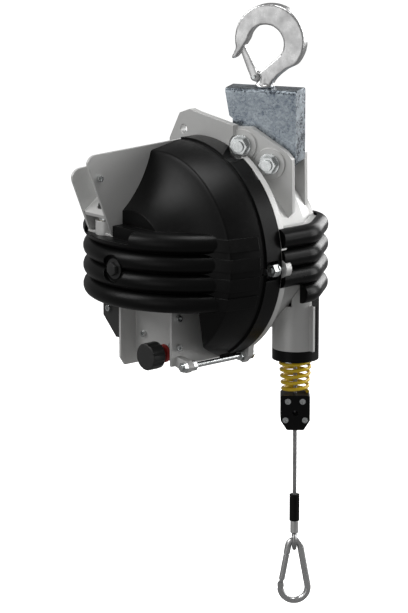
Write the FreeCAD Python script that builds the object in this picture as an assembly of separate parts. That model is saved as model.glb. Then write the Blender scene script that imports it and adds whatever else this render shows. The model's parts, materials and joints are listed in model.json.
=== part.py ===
import FreeCAD, Part
import math
import os

V = FreeCAD.Vector

# Spring balancer, millimetres, +Z up.  Sizes are set about the body centre: the drum turns on
# the Y line through it, the moulded cover faces -Y.  Each piece is written out with the
# hook's bearing point as origin.

# ---- fits -------------------------------------------------------------------------------
GAP = 0.3              # between parts of different bodies, and loose seats
RUNNING = 0.08         # radial clearance of a shaft in its bush
HOLE_CLEARANCE = 0.4   # radial clearance of a bolt in its hole

# ---- moulded front cover ----------------------------------------------------------------
COVER_RADIUS = 157.0
COVER_DEPTH = 170.0        # rim face to front face
COVER_SHOULDER = 85.0      # length of the straight band before the cone
COVER_FACE_RADIUS = 58.0
COVER_BULGE = 4.0          # crown of the cone between shoulder and face
COVER_WALL = 4.0
RIM_RADIUS = 160.0
RIM_WIDTH = 18.0
RIM_Y = 5.0                # joint plane between cover and main plate

# ---- bumper ribs ------------------------------------------------------------------------
RIB_RADIUS = 14.0
RIB_PITCH = 28.0
RIB_TOP_Z = 34.0
RIB_COUNT = 4
RIB_VALLEY = 12.0          # how far the valley lies inside the ridge
BAND_WALL = 4.0
BAND_HALF_FRONT = 70.0     # half width of the flat front side, and so on round the plan
BAND_FRONT_Y = -181.0
BAND_HALF_WIDTH = 166.0
BAND_SHOULDER_Y = -92.0
BAND_HIP_Y = 72.0
BAND_HALF_REAR = 110.0
BAND_REAR_Y = 145.0
BAND_CORNER = 52.0         # rounding of the plan's corners
RIB_OPEN_END_Y = 48.0      # the lowest rib stops here on the rope side

# ---- main housing -----------------------------------------------------------------------
PLATE_RADIUS = 159.0
PLATE_THICK = 10.0
DRUM_SHELL_RADIUS = 133.0
DRUM_SHELL_WALL = 6.0
DRUM_SHELL_TAPER_Y = 78.0      # the shell narrows from here to its rear face
DRUM_SHELL_REAR_RADIUS = 106.0
DRUM_SHELL_END_Y = 118.0
SEAT_TOP_Z = 44.0
SEAT_BOTTOM_Z = -30.0
HUB_HOLE_RADIUS = 36.0
LUG_HOLE_RADIUS = 7.0
LUG_HOLE_X, LUG_HOLE_Z = -48.0, 163.0
LEDGE_WIDTH = 14.0
LEDGE_THICK = 7.0

# ---- suspension fork, turned about Z from the main plate --------------------------------
FORK_TURN = 30.0
FORK_X, FORK_Y = 51.0, 10.0
FORK_PLATE = 13.0
FORK_SPAN = 88.0           # bend line to the free edge
FORK_BOSS_RADIUS = 22.5
FORK_BOSS_HEIGHT = 2.0
NUT_ROOM = 17.0            # radius kept free round each nut
FORK_BOLTS = ((12.6, 153.5), (54.6, 129.0))
BOLT_RADIUS = 7.9
BRACKET_DEPTH = 46.0
BRACKET_SHEET = 5.0
BRACKET_PLAY = 1.0
BRACKET_LEFT, BRACKET_RIGHT = -17.0, 88.0
BRACKET_TOP_Z = 231.0

# ---- hook -------------------------------------------------------------------------------
HOOK_SHANK_RADIUS = 11.0
HOOK_BOWL_RADIUS = 27.0
HOOK_BOWL_Z = 293.8
HOOK_OUTER_RADIUS = 56.5
HOOK_OUTER_SHIFT = 6.5
HOOK_THICK = 23.0
HOOK_COLLAR_Z = 238.0
LATCH_LENGTH = 43.0
LATCH_WIDTH = 8.0
LATCH_LEAN = 20.0          # degrees from the vertical
LATCH_PIVOT = (-13.5, 246.0)
LATCH_PIN_RADIUS = 2.5
LATCH_EYE_RADIUS = 6.0
LATCH_ROOM = 23.0          # radius of the latch's slot about its pin
HOOK_NUT_FLATS = 30.0

# ---- drum, shaft and spring -------------------------------------------------------------
ROPE_RADIUS = 3.0
ROPE_LINE_X = 95.5
ROPE_LINE_Y = 91.0
DRUM_START_PITCH = 93.5    # pitch radius of the groove that the rope leaves at rest
DRUM_TAPER = 1.2           # growth of the pitch radius from groove to groove
GROOVE_PITCH = 8.0
GROOVE_COUNT = 5
DRUM_FRONT_Y, DRUM_REAR_Y = 30.0, 107.0
DRUM_FLANGE_RADIUS = 100.0
DRUM_FLANGE = 5.0
DRUM_CAVITY_RADIUS = 80.0
DRUM_WEB = 8.0
SHAFT_RADIUS = 12.5
SHAFT_FRONT_Y, SHAFT_REAR_Y = -152.0, 124.0
BUSH_WALL = 3.5
DRUM_HUB_RADIUS = 30.0
SPRING_HUB_RADIUS = 24.0
SPRING_STRIP = 2.4
SPRING_PITCH = 6.4
SPRING_TURNS = 8
SPRING_WIDTH = 50.0
LOCK_DISC_RADIUS = 146.0
LOCK_DISC_THICK = 8.0
LOCK_DISC_BACK_Y = -4.0
LOCK_NOTCHES = 12
LOCK_NOTCH_RADIUS = 7.2

# ---- load adjuster ----------------------------------------------------------------------
ADJ_RIGHT_X, ADJ_LEFT_X = -21.0, -76.0
ADJ_WALL = 4.0
ADJ_FLOOR_Z = 29.0
ADJ_BACK_Y = -20.0
ADJ_NOSE_Y, ADJ_NOSE_Z = -202.0, 145.0
WHEEL_Y = -141.0
WHEEL_WIDTH = 14.0
WHEEL_RADIUS = 39.0
WHEEL_TEETH = 30
WORM_RADIUS = 9.0
WORM_X = -48.5
WORM_TOP_Z = 112.0
ARM_Y, ARM_THICK = -128.0, 8.0

# ---- drum lock --------------------------------------------------------------------------
LOCK_X, LOCK_Z = 28.0, -135.0
LOCK_HALF = 57.0
LOCK_FRONT_Y = -110.0
LOCK_WEB_Y = -78.0
LOCK_TOP_Z, LOCK_BOTTOM_Z = -66.0, -148.0
LOCK_LEFT_DROP = 18.0
KNOB_RADIUS = 19.5
KNOB_LENGTH = 22.0
KNOB_FACE_Y = -134.0
LOCK_TRAVEL = 8.0
PLUNGER_RADIUS = 6.0
PLUNGER_TIP_Y = -14.0
COLLAR_RADIUS = 12.0

# ---- rope guide and rope end ------------------------------------------------------------
GUIDE_RADIUS = 33.5
GUIDE_WALL = 5.0
GUIDE_TOP_Z, GUIDE_BOTTOM_Z = -36.0, -144.0
WINDOW_BOTTOM_Z = -78.0
GUIDE_FLANGE = 7.0
GUIDE_RING_Z = -160.0
BUSH_BORE_RADIUS = 4.0
BUFFER_TOP_RADIUS, BUFFER_BOTTOM_RADIUS = 21.5, 17.5
BUFFER_WIRE = 2.5
BUFFER_TURNS = 5
CLAMP_TOP_Z, CLAMP_BOTTOM_Z = -212.0, -263.0
CLAMP_HALF_WIDTH, CLAMP_HALF_DEPTH = 21.0, 17.0
TOOL_TURN = 48.5           # the clamp and snap hook are turned this far about the rope
SLEEVE_TOP_Z, SLEEVE_BOTTOM_Z = -363.0, -402.0
SLEEVE_RADIUS = 7.3
FERRULE_BOTTOM_Z = -421.0
EYE_Z = -431.5
EYE_INNER = 8.0
SNAP_SEAT = 2.2            # room under the snap hook's wire in the eye
EYE_RIM = 1.4
EYE_WIDTH = 7.0
SNAP_WIRE = 4.75
SNAP_TOP_RADIUS, SNAP_BOTTOM_RADIUS = 8.75, 19.75
SNAP_LENGTH = 100.0
GATE_WIRE = 4.3
GATE_LENGTH = 48.0

# ---- fasteners --------------------------------------------------------------------------
TIE_X, TIE_Z = 78.0, -145.5
TIE_RADIUS = 4.0
STUD_RADIUS = 4.5
SCREW_RADIUS = 3.0

BOWL_TOP_Z = HOOK_BOWL_Z + HOOK_BOWL_RADIUS
BRACKET_MID_S = 0.5 * (BRACKET_LEFT + BRACKET_RIGHT)
BRACKET_MID_N = FORK_PLATE + BRACKET_PLAY + 0.5 * BRACKET_DEPTH
FORK = FreeCAD.Placement(V(FORK_X, FORK_Y, 0), FreeCAD.Rotation(V(0, 0, 1), FORK_TURN))
HOOK_AXIS = FORK.multVec(V(BRACKET_MID_S, BRACKET_MID_N, 0))
HOOK = FreeCAD.Placement(HOOK_AXIS, FreeCAD.Rotation(V(0, 0, 1), FORK_TURN))
TOOL = FreeCAD.Placement(V(ROPE_LINE_X, ROPE_LINE_Y, 0), FreeCAD.Rotation(V(0, 0, 1), TOOL_TURN))
ORIGIN = V(HOOK_AXIS.x, HOOK_AXIS.y, BOWL_TOP_Z)


# ---- basic shapes -----------------------------------------------------------------------
def block(x, y, z):
    return Part.makeBox(x[1] - x[0], y[1] - y[0], z[1] - z[0], V(x[0], y[0], z[0]))


def rod(radius, start, end):
    start, end = V(*start), V(*end)
    run = end.sub(start)
    return Part.makeCylinder(radius, run.Length, start, run)


def sleeve(outer, inner, start, end):
    return rod(outer, start, end).cut(rod(inner, start, end))


def y_rod(radius, x, z, y0, y1):
    return rod(radius, (x, y0, z), (x, y1, z))


def polygon(points):
    return Part.Face(Part.makePolygon(points + [points[0]]))


def slab_xz(points, y0, y1):
    return polygon([V(x, y0, z) for x, z in points]).extrude(V(0, y1 - y0, 0))


def slab_yz(points, x0, x1):
    return polygon([V(x0, y, z) for y, z in points]).extrude(V(x1 - x0, 0, 0))


def slab_xy(points, z0, z1):
    return polygon([V(x, y, z0) for x, y in points]).extrude(V(0, 0, z1 - z0))


def line(a, b):
    return Part.LineSegment(V(*a), V(*b)).toShape()


def arc(a, mid, b):
    return Part.Arc(V(*a), V(*mid), V(*b)).toShape()


def hexagon(across_flats, start, end):
    """A hexagonal prism along Y, Z or any line, with a flat side up."""
    start, end = V(*start), V(*end)
    corner = 0.5 * across_flats / math.cos(math.pi / 6)
    ring = [V(corner * math.cos(a), corner * math.sin(a), 0)
            for a in [math.radians(60 * i) for i in range(6)]]
    prism = polygon(ring).extrude(V(0, 0, end.sub(start).Length))
    return placed(prism, FreeCAD.Placement(start, FreeCAD.Rotation(V(0, 0, 1), end.sub(start))))


def placed(shape, placement):
    moved = shape.copy()
    moved.Placement = placement.multiply(moved.Placement)
    return moved


def fused(first, *others):
    return first.fuse(list(others)).removeSplitter()


def rounded_outline(corners, radius):
    """Closed XY wire through the corners, each corner an arc of the given radius."""
    points = [V(x, y, 0) for x, y in corners]
    starts, arcs = [], []
    for i, here in enumerate(points):
        back = points[i - 1].sub(here).normalize()
        ahead = points[(i + 1) % len(points)].sub(here).normalize()
        half = 0.5 * math.acos(back.dot(ahead))
        reach = radius / math.tan(half)
        bisector = back.add(ahead).normalize()
        crown = here.add(bisector * (radius / math.sin(half) - radius))
        first, last = here.add(back * reach), here.add(ahead * reach)
        starts.append((first, last))
        arcs.append(Part.Arc(first, crown, last).toShape())
    edges = []
    for i, bend in enumerate(arcs):
        edges.append(bend)
        edges.append(Part.LineSegment(starts[i][1], starts[(i + 1) % len(starts)][0]).toShape())
    return Part.Wire(edges)


# ---- bumper plan ------------------------------------------------------------------------
BAND_CORNERS = [
    (-BAND_HALF_FRONT, BAND_FRONT_Y), (BAND_HALF_FRONT, BAND_FRONT_Y),
    (BAND_HALF_WIDTH, BAND_SHOULDER_Y), (BAND_HALF_WIDTH, BAND_HIP_Y),
    (BAND_HALF_REAR, BAND_REAR_Y), (-BAND_HALF_REAR, BAND_REAR_Y),
    (-BAND_HALF_WIDTH, BAND_HIP_Y), (-BAND_HALF_WIDTH, BAND_SHOULDER_Y)]


def band_prism(inset, z0, z1):
    """The bumper's plan, moved inwards by inset, from z0 to z1."""
    face = Part.Face(rounded_outline(BAND_CORNERS, BAND_CORNER))
    if inset:
        face = face.makeOffset2D(-inset)
    prism = face.extrude(V(0, 0, z1 - z0))
    prism.translate(V(0, 0, z0))
    return prism


RIB_BOTTOM_Z = RIB_TOP_Z - (RIB_COUNT - 1) * RIB_PITCH
BAND_TOP = RIB_TOP_Z + RIB_RADIUS
BAND_BOTTOM = RIB_BOTTOM_Z - RIB_RADIUS
BAND_INNER = RIB_VALLEY + BAND_WALL


def rib(z):
    """One round rib as a full disc; the band's hollow is cut from all of them together."""
    disc = band_prism(0, z - RIB_RADIUS, z + RIB_RADIUS)
    rims = [e for e in disc.Edges if abs(e.BoundBox.ZMax - e.BoundBox.ZMin) < 0.01]
    return disc.makeFillet(0.96 * RIB_RADIUS, rims)


def ribbed_band():
    ribs = [rib(RIB_TOP_Z - i * RIB_PITCH) for i in range(RIB_COUNT)]
    wall = band_prism(RIB_VALLEY, BAND_BOTTOM + 4, BAND_TOP - 4)
    hollow = band_prism(BAND_INNER, BAND_BOTTOM - 1, BAND_TOP + 1)
    return fused(wall, *ribs).cut(hollow)


# ---- front cover ------------------------------------------------------------------------
def cover_profile(offset):
    """Half section of the dome, drawn radius against Y, moved inwards by offset."""
    face_y = RIM_Y - COVER_DEPTH - 5 + offset
    shoulder_y = -COVER_SHOULDER + 0.4 * offset
    radius = COVER_RADIUS - offset
    face_radius = COVER_FACE_RADIUS - 0.4 * offset
    normal = V(COVER_DEPTH - COVER_SHOULDER, -(COVER_RADIUS - COVER_FACE_RADIUS), 0).normalize()
    middle = V(0.5 * (radius + face_radius), 0.5 * (face_y + shoulder_y), 0).add(normal * COVER_BULGE)
    return Part.Face(Part.Wire([
        line((0, face_y, 0), (face_radius, face_y, 0)),
        arc((face_radius, face_y, 0), tuple(middle), (radius, shoulder_y, 0)),
        line((radius, shoulder_y, 0), (radius, RIM_Y, 0)),
        line((radius, RIM_Y, 0), (0, RIM_Y, 0)),
        line((0, RIM_Y, 0), (0, face_y, 0))]))


def dome(offset):
    return cover_profile(offset).revolve(V(0, 0, 0), V(0, 1, 0), 360)


COVER_BOLT_X, COVER_BOLT_Z = 18.0, -7.0
COVER_RECESS_RADIUS = 21.5
COVER_RECESS_Y = BAND_FRONT_Y + 7
STUD_X, STUD_Z = 156.0, -7.5
STUD_POCKET_Y = -24.0
STUD_EAR_RADIUS = 13.0
CUT_X, CUT_Y = 63.0, -27.0          # a point on the oblique edge at the lower left
CUT_RUN_X, CUT_RUN_Y = -45.0, 92.0  # direction of that edge, seen from above


def oblique_cut():
    front = (CUT_X - 2.2 * CUT_RUN_X, CUT_Y - 2.2 * CUT_RUN_Y)
    back = (CUT_X + 0.4 * CUT_RUN_X, CUT_Y + 0.4 * CUT_RUN_Y)
    far = -2 * COVER_RADIUS
    return slab_xy([front, back, (far, back[1]), (far, front[1])], far, BAND_BOTTOM)


def front_cover():
    rim = sleeve(RIM_RADIUS, COVER_RADIUS - 1, (0, RIM_Y - RIM_WIDTH, 0), (0, RIM_Y, 0))
    shell = fused(dome(0).cut(dome(COVER_WALL)), rim)
    far = 3 * COVER_RADIUS
    shell = shell.cut(block((-far, ADJ_RIGHT_X), (-far, RIM_Y + 1), (ADJ_FLOOR_Z + 1, far)))
    shell = shell.cut(oblique_cut())
    band = ribbed_band().common(block((-far, far), (-far, RIM_Y), (-far, far)))
    deck = band_prism(BAND_INNER - 1, ADJ_FLOOR_Z - 2, ADJ_FLOOR_Z + 1)
    deck = deck.common(block((-far, ADJ_RIGHT_X), (-far, ADJ_BACK_Y - ADJ_WALL - GAP), (-far, far)))
    deck = deck.cut(block((ADJ_LEFT_X - GAP, far), (ADJ_NOSE_Y, far), (-far, far)))
    cover = fused(shell, band, deck).cut(dome(COVER_WALL).common(
        block((-far, far), (-far, far), (BAND_BOTTOM, ADJ_FLOOR_Z - 2))))
    for side in (-1, 1):
        x = side * STUD_X
        cover = cover.cut(y_rod(14, x, STUD_Z, STUD_POCKET_Y, RIM_Y))
        pad = y_rod(14, x, STUD_Z, RIM_Y - 8, RIM_Y).cut(
            y_rod(LOCK_DISC_RADIUS + 2, 0, 0, RIM_Y - 9, RIM_Y + 1))
        cover = fused(cover, pad).cut(
            y_rod(STUD_RADIUS + HOLE_CLEARANCE, x, STUD_Z, RIM_Y - 9, RIM_Y + 1))
    recess = y_rod(COVER_RECESS_RADIUS, COVER_BOLT_X, COVER_BOLT_Z, BAND_FRONT_Y - 1, COVER_RECESS_Y)
    boss = y_rod(COVER_RECESS_RADIUS + 2, COVER_BOLT_X, COVER_BOLT_Z, COVER_RECESS_Y - 3, -COVER_DEPTH)
    hole = y_rod(STUD_RADIUS + HOLE_CLEARANCE, COVER_BOLT_X, COVER_BOLT_Z, BAND_FRONT_Y - 1, -150)
    tie = y_rod(2 * TIE_RADIUS + 1, TIE_X, TIE_Z, RIM_Y - RIM_WIDTH - 1, RIM_Y + 1)
    room = nut_clearance(NUT_ROOM, -16, -FORK_BOSS_HEIGHT)
    room += nut_clearance(FORK_BOSS_RADIUS + 1, -FORK_BOSS_HEIGHT - GAP, FORK_PLATE)
    return fused(cover, boss).cut([recess, hole, tie] + room)


def rear_bumper():
    far = 3 * COVER_RADIUS
    band = ribbed_band().common(block((-far, far), (RIM_Y + GAP, far), (-far, far)))
    gap = block((0, far), (RIM_Y - 1, RIB_OPEN_END_Y), (BAND_BOTTOM - 1, RIB_BOTTOM_Z + RIB_RADIUS))
    plate = y_rod(PLATE_RADIUS + GAP, 0, 0, RIM_Y - 1, RIM_Y + PLATE_THICK + GAP)
    fork = placed(block((0, FORK_SPAN + 4), (-GAP, FORK_PLATE + GAP), (0, BAND_TOP + 1)), FORK)
    ears = [y_rod(STUD_EAR_RADIUS + GAP, side * STUD_X, STUD_Z, RIM_Y - 1, RIM_Y + PLATE_THICK + GAP)
            for side in (-1, 1)]
    return band.cut([gap, plate, fork, drum_shell(-GAP)] + ears)


def nut_clearance(radius, n0, n1):
    """Room round the two suspension nuts, between the depths n0 and n1 from the fork's face."""
    return [placed(y_rod(radius, s, z, n0, n1), FORK) for s, z in FORK_BOLTS]


# ---- main housing -----------------------------------------------------------------------
PLATE_REAR_Y = RIM_Y + PLATE_THICK
REAR_INNER = DRUM_SHELL_REAR_RADIUS - DRUM_SHELL_WALL
REAR_COVER_THICK = 7.0


def drum_shell(offset):
    """The rear drum shell as a solid, moved inwards by offset: a band, then a taper."""
    front = PLATE_REAR_Y if offset > 0 else RIM_Y
    end = DRUM_SHELL_END_Y + REAR_COVER_THICK
    band, rear = DRUM_SHELL_RADIUS - offset, DRUM_SHELL_REAR_RADIUS - offset
    points = [(0, front), (band, front), (band, DRUM_SHELL_TAPER_Y), (rear, DRUM_SHELL_END_Y),
              (rear, end), (0, end)]
    return polygon([V(r, y, 0) for r, y in points]).revolve(V(0, 0, 0), V(0, 1, 0), 360)


def fork_plate(n0, n1, foot_z):
    """One cheek of the suspension fork, between the depths n0 and n1 from the bend plane."""
    outline = [(-6, 178), (27, 179), (79, 146), (87, 136), (FORK_SPAN, 60), (70, foot_z), (-6, foot_z)]
    return placed(slab_xz(outline, n0, n1), FORK)


def main_housing():
    plate = y_rod(PLATE_RADIUS, 0, 0, RIM_Y, PLATE_REAR_Y)
    lug = slab_xz([(-79, 120), (-79, 147), (-57, 186), (-35, 194), (-20, 191), (57, 182), (57, 100)],
                  RIM_Y, PLATE_REAR_Y)
    shell = drum_shell(0)
    seat = band_prism(BAND_INNER + GAP, SEAT_BOTTOM_Z, SEAT_TOP_Z)
    far = 3 * COVER_RADIUS
    seat = seat.common(block((-far, far), (RIM_Y, DRUM_SHELL_END_Y + REAR_COVER_THICK), (-far, far)))
    rear_n = FORK_PLATE + 2 * BRACKET_PLAY + BRACKET_DEPTH
    front_fork = fork_plate(0, FORK_PLATE, 40)
    rear_fork = fork_plate(rear_n, rear_n + FORK_PLATE, 80)
    bosses = [placed(y_rod(FORK_BOSS_RADIUS, s, z, -FORK_BOSS_HEIGHT, 1), FORK)
              for s, z in FORK_BOLTS]
    tie_lug = slab_xz([(TIE_X - 16, TIE_Z + 20), (TIE_X - 11, TIE_Z - 6), (TIE_X, TIE_Z - 11),
                       (TIE_X + 11, TIE_Z), (TIE_X + 14, TIE_Z + 22)], RIM_Y, PLATE_REAR_Y)
    stud_ears = [y_rod(STUD_EAR_RADIUS, side * STUD_X, STUD_Z, RIM_Y, PLATE_REAR_Y) for side in (-1, 1)]
    body = fused(plate, lug, shell, seat, front_fork, rear_fork, tie_lug, *bosses, *stud_ears)
    body = body.cut(drum_shell(DRUM_SHELL_WALL))
    ledge = sleeve(REAR_INNER + 1, REAR_INNER - LEDGE_WIDTH,
                   (0, DRUM_SHELL_END_Y - LEDGE_THICK, 0), (0, DRUM_SHELL_END_Y, 0))
    body = fused(body, ledge)
    holes = nut_clearance(NUT_ROOM, -16, -FORK_BOSS_HEIGHT)
    holes += [y_rod(HUB_HOLE_RADIUS, 0, 0, RIM_Y - 1, PLATE_REAR_Y + 1),
             y_rod(LUG_HOLE_RADIUS, LUG_HOLE_X, LUG_HOLE_Z, RIM_Y - 1, PLATE_REAR_Y + 1),
             y_rod(TIE_RADIUS + HOLE_CLEARANCE, TIE_X, TIE_Z, RIM_Y - 1, PLATE_REAR_Y + 1),
             rod(GUIDE_RADIUS - GUIDE_WALL, (ROPE_LINE_X, ROPE_LINE_Y, GUIDE_BOTTOM_Z),
                 (ROPE_LINE_X, ROPE_LINE_Y, -20))]
    holes += [y_rod(STUD_RADIUS, side * STUD_X, STUD_Z, RIM_Y - 1, PLATE_REAR_Y + 1) for side in (-1, 1)]
    holes += [placed(y_rod(BOLT_RADIUS + HOLE_CLEARANCE, s, z, -5, rear_n + FORK_PLATE + 1), FORK)
              for s, z in FORK_BOLTS]
    holes += [y_rod(SCREW_RADIUS, x, z, DRUM_SHELL_END_Y - LEDGE_THICK - 1, DRUM_SHELL_END_Y + 1)
              for x, z in cover_screw_places()]
    return body.cut(holes)


COVER_SCREWS = 6


def cover_screw_places():
    circle = REAR_INNER - 0.5 * LEDGE_WIDTH
    angles = [math.radians(360.0 * (i + 0.5) / COVER_SCREWS) for i in range(COVER_SCREWS)]
    return [(circle * math.cos(a), circle * math.sin(a)) for a in angles]


def rear_cover():
    y0 = DRUM_SHELL_END_Y
    y1 = y0 + REAR_COVER_THICK
    disc = y_rod(REAR_INNER - GAP, 0, 0, y0, y1)
    hub = y_rod(SHAFT_RADIUS + BUSH_WALL + 8, 0, 0, y0 - 5, y1)
    cover = fused(disc, hub)
    holes = [y_rod(SCREW_RADIUS + HOLE_CLEARANCE, x, z, y0 - 1, y1 + 1) for x, z in cover_screw_places()]
    holes.append(y_rod(SHAFT_RADIUS + RUNNING + BUSH_WALL, 0, 0, y0 - 6, y1 + 1))
    return cover.cut(holes)


def cover_screws():
    """Screws of the rear cover, heads towards +Y."""
    y = DRUM_SHELL_END_Y + REAR_COVER_THICK
    screws = []
    for x, z in cover_screw_places():
        shank = y_rod(SCREW_RADIUS, x, z, DRUM_SHELL_END_Y - LEDGE_THICK, y)
        head = y_rod(5, x, z, y, y + 2)
        screws.append(fused(shank, head))
    return Part.makeCompound(screws)


# ---- suspension -------------------------------------------------------------------------
REAR_N = FORK_PLATE + 2 * BRACKET_PLAY + BRACKET_DEPTH
BRACKET_N0 = FORK_PLATE + BRACKET_PLAY
BRACKET_N1 = BRACKET_N0 + BRACKET_DEPTH


def suspension_bracket():
    side = [(BRACKET_LEFT, BRACKET_TOP_Z), (BRACKET_LEFT + 7, 192), (-5, 188), (-5, 141), (12, 136),
            (50, 112), (72, 115), (BRACKET_RIGHT, 129), (BRACKET_RIGHT, BRACKET_TOP_Z)]
    solid = slab_xz(side, BRACKET_N0, BRACKET_N1)
    folds = [e for e in solid.Edges
             if e.BoundBox.ZMin > BRACKET_TOP_Z - 0.1 and e.BoundBox.YLength < 0.1]
    solid = solid.makeFillet(1.4 * BRACKET_SHEET, folds)
    inner = block((-60, BRACKET_RIGHT - BRACKET_SHEET),
                  (BRACKET_N0 + BRACKET_SHEET, BRACKET_N1 - BRACKET_SHEET),
                  (60, BRACKET_TOP_Z - BRACKET_SHEET))
    bracket = placed(solid.cut(inner), FORK)
    holes = [placed(y_rod(BOLT_RADIUS + HOLE_CLEARANCE, s, z, 0, REAR_N), FORK) for s, z in FORK_BOLTS]
    holes.append(placed(rod(HOOK_SHANK_RADIUS + GAP, (0, 0, 200), (0, 0, 240)), HOOK))
    return bracket.cut(holes + [drum_shell(-2)])


def bracket_bolts():
    head_n = REAR_N + FORK_PLATE
    bolts = []
    for s, z in FORK_BOLTS:
        head = hexagon(24, (s, head_n, z), (s, head_n + 10, z))
        shank = y_rod(BOLT_RADIUS, s, z, -FORK_BOSS_HEIGHT - 16, head_n)
        bolts.append(placed(fused(head, shank), FORK))
    return Part.makeCompound(bolts)


def bracket_nuts():
    nuts = []
    for s, z in FORK_BOLTS:
        washer = y_rod(15, s, z, -FORK_BOSS_HEIGHT - 3, -FORK_BOSS_HEIGHT)
        nut = hexagon(22, (s, -FORK_BOSS_HEIGHT - 13, z), (s, -FORK_BOSS_HEIGHT - 3, z))
        bore = y_rod(BOLT_RADIUS, s, z, -40, 0)
        nuts.append(placed(fused(washer, nut).cut(bore), FORK))
    return Part.makeCompound(nuts)


# ---- hook, drawn in its own XZ plane about the swivel axis ------------------------------
def hook_point(radius, angle, shift=0.0):
    a = math.radians(angle)
    return (shift + radius * math.cos(a), 0, HOOK_BOWL_Z + radius * math.sin(a))


def latch_point(distance):
    a = math.radians(90 + LATCH_LEAN)
    return (LATCH_PIVOT[0] + distance * math.cos(a), LATCH_PIVOT[1] + distance * math.sin(a))


def latch_bar(start, width, depth):
    """The latch's bar with its round tip, from start along its length, width to each side."""
    (ax, az), (bx, bz) = latch_point(start), latch_point(LATCH_LENGTH)
    a = math.radians(LATCH_LEAN)
    sx, sz = width * math.cos(a), width * math.sin(a)
    bar = slab_xz([(ax - sx, az - sz), (ax + sx, az + sz), (bx + sx, bz + sz), (bx - sx, bz - sz)],
                  -depth, depth)
    return fused(bar, y_rod(width, bx, bz, -depth, depth))


def swivel_hook():
    outer = [hook_point(HOOK_OUTER_RADIUS, a, HOOK_OUTER_SHIFT) for a in (-42, 80, 190)]
    inner = [hook_point(HOOK_BOWL_RADIUS, a) for a in (198, 90, -48)]
    neck_right = (HOOK_SHANK_RADIUS + 1, 0, HOOK_COLLAR_Z)
    neck_left = (-HOOK_SHANK_RADIUS - 1, 0, HOOK_COLLAR_Z)
    tip_out, tip_in = (-47.5, 0, 274), (-37.5, 0, 271)
    outline = Part.Wire([
        arc(neck_right, (29, 0, 246.5), outer[0]),
        arc(*outer),
        line(outer[2], tip_out),
        arc(tip_out, (-43, 0, 270), tip_in),
        arc(tip_in, (-33, 0, 280), inner[0]),
        arc(*inner),
        arc(inner[2], (5, 0, 263), (-6, 0, 257)),
        line((-6, 0, 257), (-21, 0, 250)),
        line((-21, 0, 250), neck_left),
        line(neck_left, neck_right)])
    half = 0.5 * HOOK_THICK
    body = Part.Face(outline).extrude(V(0, HOOK_THICK, 0))
    body.translate(V(0, -half, 0))
    edges = [e for e in body.Edges if e.BoundBox.YLength < 0.1 and e.BoundBox.ZMax > HOOK_COLLAR_Z + 1
             and e.Length > 12]
    body = body.makeFillet(5.0, edges)
    collar_z = BRACKET_TOP_Z + GAP
    collar = rod(HOOK_SHANK_RADIUS + 6, (0, 0, collar_z), (0, 0, HOOK_COLLAR_Z + 1))
    shank = rod(HOOK_SHANK_RADIUS, (0, 0, BRACKET_TOP_Z - 29), (0, 0, HOOK_COLLAR_Z))
    body = fused(body, collar, shank)
    px, pz = LATCH_PIVOT
    slot = y_rod(LATCH_ROOM, px, pz, -0.5 * LATCH_WIDTH - GAP, 0.5 * LATCH_WIDTH + GAP).cut(
        block((-60, 60), (-20, 20), (200, pz - 9)))
    rest = latch_bar(0.6 * LATCH_LENGTH, LATCH_EYE_RADIUS + 0.6, 20)
    pin_hole = y_rod(LATCH_PIN_RADIUS, px, pz, -20, 20)
    return placed(body.cut([slot, rest, pin_hole]), HOOK)


def hook_latch():
    px, pz = LATCH_PIVOT
    half = 0.5 * LATCH_WIDTH
    eye = y_rod(LATCH_EYE_RADIUS, px, pz, -half, half)
    hole = y_rod(LATCH_PIN_RADIUS + RUNNING, px, pz, -20, 20)
    return placed(fused(eye, latch_bar(0, LATCH_EYE_RADIUS, half)).cut(hole), HOOK)


def latch_pin():
    px, pz = LATCH_PIVOT
    return placed(y_rod(LATCH_PIN_RADIUS, px, pz, -0.5 * HOOK_THICK - 1, 0.5 * HOOK_THICK + 1), HOOK)


WASHER_Z = BRACKET_TOP_Z - BRACKET_SHEET


def thrust_washer():
    return placed(sleeve(17, HOOK_SHANK_RADIUS + GAP, (0, 0, WASHER_Z - 4.6), (0, 0, WASHER_Z)), HOOK)


def hook_nut():
    z1 = WASHER_Z - 4.6 - GAP
    nut = hexagon(HOOK_NUT_FLATS, (0, 0, z1 - 16), (0, 0, z1))
    return placed(nut.cut(rod(HOOK_SHANK_RADIUS, (0, 0, z1 - 17), (0, 0, z1 + 1))), HOOK)


# ---- drum, shaft, spring ----------------------------------------------------------------
def grooves():
    return [(ROPE_LINE_Y - i * GROOVE_PITCH, DRUM_START_PITCH + i * DRUM_TAPER)
            for i in range(GROOVE_COUNT)]


def torus_y(y, radius, section):
    return Part.makeTorus(radius, section, V(0, y, 0), V(0, 1, 0))


def rope_drum():
    slope = DRUM_TAPER / GROOVE_PITCH

    def surface(y):
        return DRUM_START_PITCH + slope * (ROPE_LINE_Y - y) - 0.6 * ROPE_RADIUS

    y0, y1 = DRUM_FRONT_Y, DRUM_REAR_Y
    profile = [(SHAFT_RADIUS + BUSH_WALL, y0 - 12), (DRUM_HUB_RADIUS, y0 - 12), (DRUM_HUB_RADIUS, y0),
               (DRUM_FLANGE_RADIUS, y0), (DRUM_FLANGE_RADIUS, y0 + DRUM_FLANGE),
               (surface(y0 + DRUM_FLANGE), y0 + DRUM_FLANGE), (surface(y1 - DRUM_FLANGE), y1 - DRUM_FLANGE),
               (DRUM_FLANGE_RADIUS, y1 - DRUM_FLANGE), (DRUM_FLANGE_RADIUS, y1), (DRUM_CAVITY_RADIUS, y1),
               (DRUM_CAVITY_RADIUS, y0 + DRUM_WEB), (SHAFT_RADIUS + BUSH_WALL, y0 + DRUM_WEB)]
    drum = polygon([V(r, y, 0) for r, y in profile]).revolve(V(0, 0, 0), V(0, 1, 0), 360)
    return drum.cut([torus_y(y, radius, ROPE_RADIUS) for y, radius in grooves()])


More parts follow.
